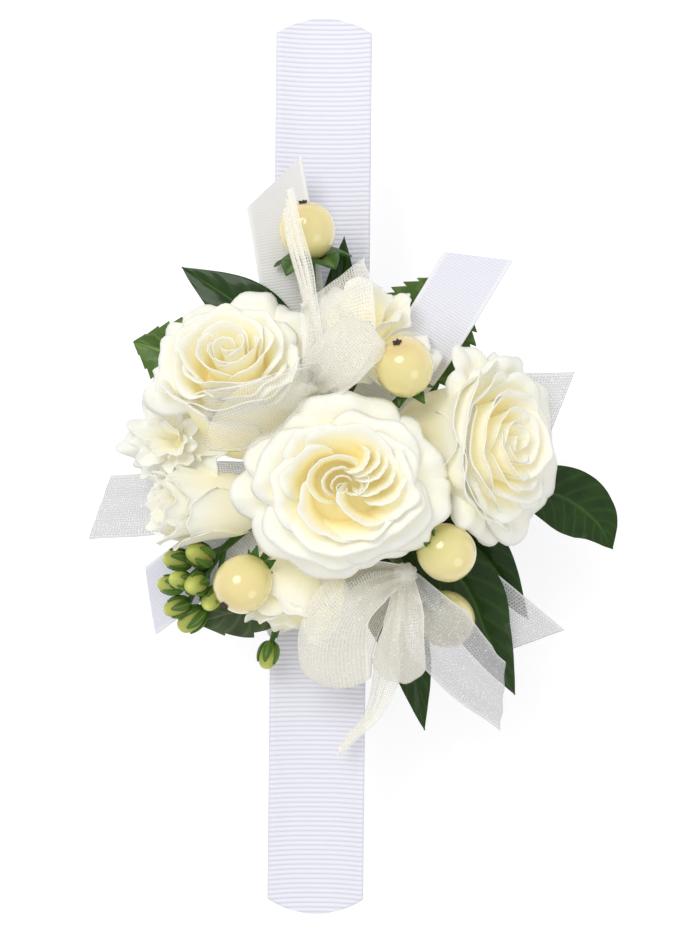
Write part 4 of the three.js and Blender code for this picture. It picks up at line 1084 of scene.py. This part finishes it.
# Height of a rib on the ribbed tails
TAIL_RIB = 0.15
WIRE_RADIUS, TWIST_RADIUS = 0.42, 0.45
# Threads across the ribbons, and along one unit of the sheer ribbon's map
BAND_THREADS, TAIL_THREADS, NET_ACROSS, NET_ALONG = 70.0, 44.0, 26.0, 145.0
KNOTS = {"bow_upper": (-3.0, 18.0, 22.5), "bow_lower": (22.0, -26.8, 19.5)}
SHEER_TAILS = {
    "organza_right": (4, [
        (6, 2, 3, 0, 1, 0, 0.3), (26, 10, 2, -0.2, 1, 0, 0.8), (45, 15, -0.5, -0.1, 1, 0, 1),
        (62.5, 16, 1, 0, 1, 0, 1),
    ]),
    "organza_left": (-4, [
        (-5, -2, 3, 0, 1, 0, 0.3), (-24, -6, 6, 0, 1, 0, 0.8), (-42, -10, 2.5, 0, 1, 0, 0.9),
        (-57.5, -11.4, -2.5, 0, 1, 0, 0.9),
    ]),
    "organza_lower_right": (5.5, [
        (5, -6, 3.5, 0.65, 0.76, 0, 0.3), (24, -22, 5, 0.65, 0.76, 0, 0.8),
        (40, -34, 4, 0.65, 0.76, 0, 1), (54.2, -45.5, 1.5, 0.65, 0.76, 0, 1),
    ]),
}
RIBBED_TAILS = {
    "grosgrain_upper_left": (5.5, [
        (-2, 10, 3.5, 1, 0.1, 0, 0.3), (-4.5, 26, 6.5, 1, 0.15, 0, 1), (-7.5, 46, 9, 1, 0.2, 0, 1),
        (-12.2, 72.7, 7.5, 1, 0.22, 0, 1),
    ]),
    "grosgrain_upper_right": (3.7, [
        (4, 7, 3.5, 0.85, -0.5, 0, 0.3), (17, 19, 11, 0.85, -0.5, 0, 1),
        (26.5, 31.3, 15.5, 0.85, -0.5, 0, 1), (39.7, 53.3, 14.5, 0.85, -0.52, 0, 1),
    ]),
    "grosgrain_lower_left": (4.5, [
        (-4, -4, 3, 0.6, -0.8, 0, 0.3), (-17, -15, 6, 0.6, -0.8, 0, 1), (-31, -26, 2.5, 0.6, -0.8, 0, 1),
        (-44, -35.8, -2.4, 0.6, -0.8, 0, 1),
    ]),
}


def ribbon(stops, width, slant, seed, rows, cols, cup, wave, rib=None, pleat=0.0, rounding=0.0):
    """Flat ribbon through its stops.

    Its cut end slants by moving each point along the ribbon in step with its place across. cup bows it
    across, wave ripples its edges and rib raises a row of ribs of (pitch, height) across it. pleat gathers
    it in folds where it is drawn narrow, and rounding draws its edges back to its first place by the square
    of the place across. Returns the sheet and the cut length in millimetres.
    """
    stops = np.array(stops, float)
    spine, turn = run_through(stops[:, :3], rows), run_through(stops[:, 3:6], rows)
    t = np.linspace(0, 1, rows)
    share = np.interp(t, np.linspace(0, 1, len(stops)), stops[:, 6])[:, None]
    along = unit(np.gradient(spine, axis=0))
    side = unit(turn - (turn * along).sum(-1, keepdims=True) * along)
    over = np.cross(side, along)
    a = np.linspace(-1, 1, cols)[None]
    half = share * width / 2
    shift = slant * smooth((t - 0.55) / 0.45)[:, None]
    p = np.random.default_rng(seed).uniform(0, 2 * np.pi, 4)
    run = np.concatenate([[0.0], np.cumsum(np.linalg.norm(np.diff(spine, axis=0), axis=1))])
    d = run[:, None]
    lift = cup * half * (a**2 - 0.4) + wave * np.abs(a) ** 1.5 * np.sin(d / 4.2 + p[0] + 1.3 * np.sign(a))
    lift = lift + wave * 0.6 * np.sin(d / 7.5 + 2.2 * a + p[1])
    lift = lift + 0.4 * wave * np.sin(a * 5.0 + p[2]) * (1.2 - share)
    lift = lift + pleat * np.clip(1.1 - share, 0, 1) * np.cos(3 * np.pi * a + 0.6)
    ribs = np.ones((rows, cols))
    if rib:
        pitch, height = rib
        plain = smooth((np.abs(a) - 0.9) / 0.03)
        ribs = np.maximum(np.abs(np.cos(np.pi * (d + a * shift) / pitch)) ** 0.8, plain)
        lift = lift + height * (ribs - 0.5)
    points = spine[:, None] + (a * half)[..., None] * side[:, None]
    points = points + (a * shift)[..., None] * along[:, None] + lift[..., None] * over[:, None]
    drawn = rounding * (a**2 * np.sin(np.pi * t)[:, None])[..., None]
    points = points + drawn * (spine[:1, None] - points) + BOUQUET
    uv = np.stack(np.broadcast_arrays((a + 1) / 2, d / MAP_LENGTH), -1)
    edge = smooth((np.abs(a) - 0.93) / 0.04) + 0 * d
    # The rib mark also paints shade into the rib hollows and a highlight onto the crests through the ribbed
    # finish.
    return Sheet(points, uv=uv, rib=ribs, selvedge=edge), float(run[-1])


def bow_knot(place):
    """Small knot of gathered ribbon: an egg with nine folds round it."""
    ball = egg(width=6.0, height=5.6, rows=24, sides=30)
    turn = np.arctan2(ball.points[:, 1], ball.points[:, 0])
    ball.points[:, :2] *= (1.0 + 0.09 * np.sin(9 * turn + ball.points[:, 2]))[:, None]
    ball.marks["selvedge"] = np.full(len(ball.points), 0.8)
    ball.marks["rib"] = np.ones(len(ball.points))
    return ball.moved(place - (0, 0, 2.8))


def tie_wire(end):
    """Two wires twisted about the line from the stems to a knot."""
    t = np.linspace(0, 1, 40)[:, None]
    twist = TWIST_RADIUS * np.concatenate([np.cos(40 * t), np.sin(40 * t), 0 * t], 1)
    line = STEM_START + (end - STEM_START) * t * 0.95
    return together([tube(line + side * twist, WIRE_RADIUS, count=160, sides=8) for side in (1, -1)])


class CORSAGE_OT_organza(bpy.types.Operator):
    """Make the sheer bows, their knots and wires, and the sheer tails."""
    bl_idname = "corsage.organza"
    bl_label = "Sheer ribbons"

    def execute(self, context):
        settings = context.scene.corsage_ribbons
        # The sheer finishes glow a little as painted light; the loose tails' grey is painted shade seen
        # through them.
        sheer = finish_of(organza_material, "organza", settings.organza, settings.cover, glow=0.055)
        veil = finish_of(organza_material, "organza_veil", (0.99, 0.97, 0.88), cover=0.13, glow=0.02,
                         sparkle=0.2, least=0.02)
        loose = finish_of(organza_material, "organza_tail", settings.organza_tail, cover=0.52, glow=0.0,
                          sparkle=0.6, least=0.18)
        wire = finish_of(plain_material, "wire", (0.12, 0.16, 0.08), roughness=0.5)
        special = {"bow_upper_left_loop": veil, "bow_lower_tail": loose}
        width = settings.organza_width / MM
        for bow, strips in BOWS.items():
            for seed, (key, (slant, stops)) in enumerate(strips.items()):
                finish = special.get(f"{bow}_{key}", sheer)
                sheet, run = ribbon(stops, width, slant, seed + len(bow), rows=110, cols=41, cup=0.06,
                                    wave=0.3, pleat=0.3 if finish == veil else 1.1,
                                    rounding=0.18 if "loop" in key else 0.0)
                piece = make_piece(f"{bow}_{key}", sheet, finish, [bow], wall=SHEER_WALL)
            knot = np.asarray(KNOTS[bow]) + BOUQUET
            make_piece(bow + "_knot", bow_knot(knot), sheer)
            tie = bow.replace("bow", "bow_wire")
            make_piece(tie + "_twist", tie_wire(knot), wire, [tie])
        for seed, (name, (slant, stops)) in enumerate(SHEER_TAILS.items()):
            sheet, run = ribbon(stops, width, slant, seed + 30, rows=90, cols=41, cup=0.03, wave=0.3,
                                pleat=0.8)
            piece = make_piece(name + "_tail", sheet, loose, [name], wall=SHEER_WALL)
        return {"FINISHED"}


class CORSAGE_OT_grosgrain(bpy.types.Operator):
    """Make the ribbed ribbon tails."""
    bl_idname = "corsage.grosgrain"
    bl_label = "Ribbed tails"

    def execute(self, context):
        settings = context.scene.corsage_ribbons
        width = settings.grosgrain_width / MM
        cloth = finish_of(ribbed_material, "grosgrain", context.scene.corsage_band.ribbon, TAIL_THREADS)
        ivory = finish_of(ribbed_material, "grosgrain_ivory", settings.ivory, TAIL_THREADS)
        rib = (settings.rib_pitch / MM, TAIL_RIB)
        for seed, (name, (slant, stops)) in enumerate(RIBBED_TAILS.items()):
            sheet, run = ribbon(stops, width, slant, seed + 50, rows=640, cols=29, cup=0.03, wave=0.08,
                                rib=rib)
            finish = ivory if name == "grosgrain_upper_left" else cloth
            piece = make_piece(name + "_ribbed", sheet, finish, [name], wall=RIBBED_WALL)
        return {"FINISHED"}


# Band

ARM_HINGES = 5
# Rise of the arc that rounds the band's ends
END_BULGE = 4.5
# The strip's half width and distance from the band's ends, then its lower and upper face
SPRING_HALF, SPRING_MARGIN = 10.0, 4.0
SPRING_UNDER, SPRING_OVER = 0.55, 0.8
BAND_COLS = 27
TAPE_STEP, TAPE_TURNS, STEM_RIDGE = 0.35, 9, 0.35


def trough(x, settings):
    """Height of the band's middle surface over its lowest line: a flat middle and parabolic sides."""
    half = settings.width / MM / 2
    flat = half / 7
    return settings.trough / MM * (np.maximum(0.0, np.abs(x) - flat) / (half - flat)) ** 2


def end_round(y, settings, margin=0.0):
    """Half width left at a place along the band: full, and drawn in round at its ends."""
    half, tip = settings.width / MM / 2, settings.reach / MM / 2 - margin
    radius = (half**2 + END_BULGE**2) / (2 * END_BULGE)
    rise = np.clip(np.abs(y) - (tip - radius), 0, radius)
    return np.minimum(half, np.sqrt(np.maximum(radius**2 - rise**2, 1e-4)))


def band_strip(low, high, settings, half_of, under, over, ribbed):
    """Closed strip of the band between two places along it, whose section runs round as a loop.

    Rib height is a power of a cosine along the band, with thin plain selvedges at both sides.
    """
    pitch = settings.rib_pitch / MM
    step = pitch / 6 if ribbed else 2.0
    rows = int(round(abs(high - low) / step)) + 1
    y = np.linspace(low, high, rows)
    y = np.concatenate([[low, low + 0.03], y[1:-1], [high - 0.03, high]])
    across = np.concatenate([np.linspace(-1, 1, BAND_COLS), np.linspace(1, -1, BAND_COLS)])[None]
    layer = np.repeat([1.0, -1.0], BAND_COLS)[None]
    x = across * half_of(y)[:, None]
    ribs = np.abs(np.cos(np.pi * y / pitch))[:, None] ** 0.7 + 0 * x
    plain = smooth((np.abs(across) - 0.93) / 0.05)
    raised = settings.rib_height / MM * (ribs - 0.5) * (1 - plain) if ribbed else 0.0
    middle, wall = (under + over) / 2, (over - under) / 2
    rim = np.sqrt(np.maximum(0.0, 1 - np.abs(across) ** 24))
    z = trough(x, settings) + middle + layer * (wall * (0.25 + 0.75 * rim) + raised)
    points = np.stack([x, y[:, None] + 0 * x, z], -1)
    flat = points.copy()
    flat[..., 2] = trough(x, settings) + middle
    points = np.concatenate([flat[:1], points, flat[-1:]])
    # The rib mark also paints shade into the rib hollows and a highlight onto the crests through the ribbed
    # finish.
    marks = np.maximum(ribs, 0.6 * plain)
    marks = np.concatenate([marks[:1], marks, marks[-1:]])
    uv = np.stack(np.broadcast_arrays((across + 1) / 2, points[:, :, 1] / MAP_LENGTH), -1)
    return Sheet(points, closed=True, uv=uv, rib=marks)


class CORSAGE_OT_band(bpy.types.Operator):
    """Make the ribbed band and the strip inside it, one length for each hinge."""
    bl_idname = "corsage.band"
    bl_label = "Band"

    def execute(self, context):
        settings = context.scene.corsage_band
        cloth = finish_of(ribbed_material, "band_ribbon", settings.ribbon, BAND_THREADS)
        steel = finish_of(plain_material, "steel", settings.steel, roughness=0.35, metallic=0.9)
        layers = {
            # half width at a place along it, lower and upper face, finish, ribbed, distance from the ends
            "sleeve": (lambda y: end_round(y, settings), 0.0, settings.thickness / MM, cloth, True, 0.0),
            "spring": (lambda y: np.minimum(SPRING_HALF, end_round(y, settings, SPRING_MARGIN)),
                       SPRING_UNDER, SPRING_OVER, steel, False, SPRING_MARGIN),
        }
        for arm, sign in (("upper", 1), ("lower", -1)):
            names = [f"{arm}_curl"] + [f"{arm}_curl_{k}" for k in range(2, ARM_HINGES + 1)]
            places = [HINGES[n]["pos_m"][1] / MM for n in names]
            between = [(a + b) / 2 for a, b in zip(places, places[1:])]
            ends = [0.0, *between, sign * settings.reach / MM / 2]
            for k, (name, at) in enumerate(zip(names, places), start=1):
                for layer, (half_of, under, over, finish, ribbed, margin) in layers.items():
                    stop = ends[k] - (sign * margin if k == ARM_HINGES else 0.0)
                    low, high = sorted((ends[k - 1], stop))
                    sheet = band_strip(low, high, settings, half_of, under, over, ribbed)
                    nodes = [f"{layer}_{arm}_{k}"] + ([f"{layer}_center"] if k == 1 else [])
                    piece = make_piece(f"{layer}_{arm}_bend_{k}", sheet, finish, nodes, body=None)
                    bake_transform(piece)
        return {"FINISHED"}


def taped_bundle():
    """Taped stems along the bundle's box: a low barrel with a flat underside, drawn in at both ends.

    Its radius swells with a power of a sine along it. The turns of tape are a slanting saw wave on it, and
    the stems under the tape are ridges by the absolute value of a sine round it.
    """
    size = BUNDLE_HIGH - BUNDLE_LOW
    t = np.linspace(0, 1, 61)[:, None]
    a = around(72)[None]
    swell = np.sin(np.pi * (0.02 + 0.96 * t)) ** 0.7
    wraps = TAPE_STEP * (((t * TAPE_TURNS + a / (2 * np.pi)) % 1.0) - 0.5)
    ridges = STEM_RIDGE * np.abs(np.sin(5 * a))
    x = (size[0] / 2 - 0.6 + wraps + ridges) * swell * np.cos(a)
    z = np.maximum(-0.5, np.sin(a)) * (size[2] * 0.62 + wraps + ridges) * swell
    middle = BUNDLE_LOW[2] + size[2] * 0.33
    points = np.stack([x, (t - 0.5) * size[1] + 0 * a, z + middle], -1)
    points[0], points[-1] = points[0].mean(0), points[-1].mean(0)
    return Sheet(points, closed=True)


class CORSAGE_OT_base(bpy.types.Operator):
    """Make the taped bundle of stems and finish the adhesive pad."""
    bl_idname = "corsage.base"
    bl_label = "Bundle and pad"

    def execute(self, context):
        tape = finish_of(plain_material, "tape", (0.085, 0.15, 0.04), roughness=0.6)
        glue = finish_of(plain_material, "adhesive", (0.78, 0.74, 0.62), roughness=0.35)
        make_piece("stem_bundle_taped", taped_bundle(), tape, ["stem_bundle"])
        pad = frame["nodes"]["adhesive_pad"]
        pad.data.materials.clear()
        pad.data.materials.append(glue)
        return {"FINISHED"}


# Stage

class CORSAGE_OT_stage(bpy.types.Operator):
    """Make the camera at the photograph's angle, the pale floor and the soft light."""
    bl_idname = "corsage.stage"
    bl_label = "Stage"

    def execute(self, context):
        scene = context.scene
        settings = scene.corsage_stage
        scene.view_settings.view_transform = "Standard"
        lens = bpy.data.cameras.new("camera")
        lens.lens = settings.lens
        lens.sensor_width = 36.0
        lens.clip_start, lens.clip_end = 0.01, 50.0
        camera = bpy.data.objects.new("camera", lens)
        camera.location = (settings.camera_side, 0.0, settings.camera_height)
        camera.rotation_euler = (0.0, 0.0, settings.roll)
        scene.collection.objects.link(camera)
        scene.camera = camera
        self.floor(scene, settings)
        self.light(scene, settings)
        return {"FINISHED"}

    def floor(self, scene, settings):
        """Wide pale floor whose own colour adds to a soft white where the camera sees it."""
        mesh = bpy.data.meshes.new("floor")
        turn = around(64)
        ring = np.stack([4 * np.cos(turn), 4 * np.sin(turn), 0 * turn + settings.floor], -1)
        mesh.from_pydata(ring.tolist(), [], [list(range(len(ring)))])
        floor = bpy.data.objects.new("floor", mesh)
        scene.collection.objects.link(floor)
        material, tree, shader = new_material("floor", Base_Color=(0.75, 0.75, 0.76, 1.0), Roughness=0.9,
                                              Emission_Color=rgba(WHITE))
        paths = node(tree, "ShaderNodeLightPath")
        seen = combine(tree, "MAXIMUM", paths.outputs["Is Camera Ray"], paths.outputs["Is Glossy Ray"])
        seen = combine(tree, "MAXIMUM", seen, paths.outputs["Is Transmission Ray"])
        tree.links.new(scaled(tree, seen, 0.45), shader.inputs["Emission Strength"])
        mesh.materials.append(material)

    def light(self, scene, settings):
        """Even pale light all round, white where it is seen, and a large soft lamp high at the upper left.

        A weaker lamp stands across from it.
        """
        world = bpy.data.worlds.new("studio")
        world.use_nodes = True
        tree = world.node_tree
        back = tree.nodes["Background"]
        paths = node(tree, "ShaderNodeLightPath")
        seen = combine(tree, "MAXIMUM", paths.outputs["Is Camera Ray"], paths.outputs["Is Transmission Ray"])
        share = scaled(tree, seen, 1.0 - settings.fill)
        tree.links.new(combine(tree, "ADD", share, settings.fill), back.inputs["Strength"])
        back.inputs["Color"].default_value = rgba(WHITE)
        scene.world = world
        for name, place, power, size in (("key", (-0.25, 0.35, 0.75), settings.key, 0.45),
                                         ("side", (0.6, -0.5, 0.5), settings.key * 0.35, 0.5)):
            lamp = bpy.data.lights.new(name, "AREA")
            lamp.energy = power
            lamp.shape = "DISK"
            lamp.size = size
            holder = bpy.data.objects.new(name, lamp)
            holder.location = place
            way = -np.asarray(place)
            holder.rotation_mode = "XYZ"
            holder.rotation_euler = (math.atan2(math.hypot(way[0], way[1]), -way[2]), 0.0,
                                     math.atan2(way[1], way[0]) - math.pi / 2)
            scene.collection.objects.link(holder)


OPERATORS = [
    CORSAGE_OT_stage, CORSAGE_OT_band, CORSAGE_OT_base, CORSAGE_OT_roses, CORSAGE_OT_florets,
    CORSAGE_OT_berries, CORSAGE_OT_buds, CORSAGE_OT_leaves, CORSAGE_OT_grosgrain, CORSAGE_OT_organza,
]


class CORSAGE_PT_panel(bpy.types.Panel):
    """Buttons that make the pieces, and the settings they read."""
    bl_idname = "CORSAGE_PT_panel"
    bl_label = "Wrist corsage"
    bl_space_type = "VIEW_3D"
    bl_region_type = "UI"
    bl_category = "Corsage"

    def draw(self, context):
        for key, group in SETTINGS.items():
            box = self.layout.box()
            for name in group.__annotations__:
                box.prop(getattr(context.scene, key), name)
        for operator in OPERATORS:
            self.layout.operator(operator.bl_idname)


def register():
    """Registers the settings, operators and panel."""
    for key, group in SETTINGS.items():
        bpy.utils.register_class(group)
        setattr(bpy.types.Scene, key, bpy.props.PointerProperty(type=group))
    for made in [*OPERATORS, CORSAGE_PT_panel]:
        bpy.utils.register_class(made)


def unregister():
    """Removes what register added."""
    for made in [CORSAGE_PT_panel, *reversed(OPERATORS)]:
        bpy.utils.unregister_class(made)
    for key, group in SETTINGS.items():
        delattr(bpy.types.Scene, key)
        bpy.utils.unregister_class(group)


def main():
    """Makes every piece in order."""
    register()
    for operator in OPERATORS:
        group, name = operator.bl_idname.split(".")
        getattr(getattr(bpy.ops, group), name)()


if __name__ == "__main__":
    main()
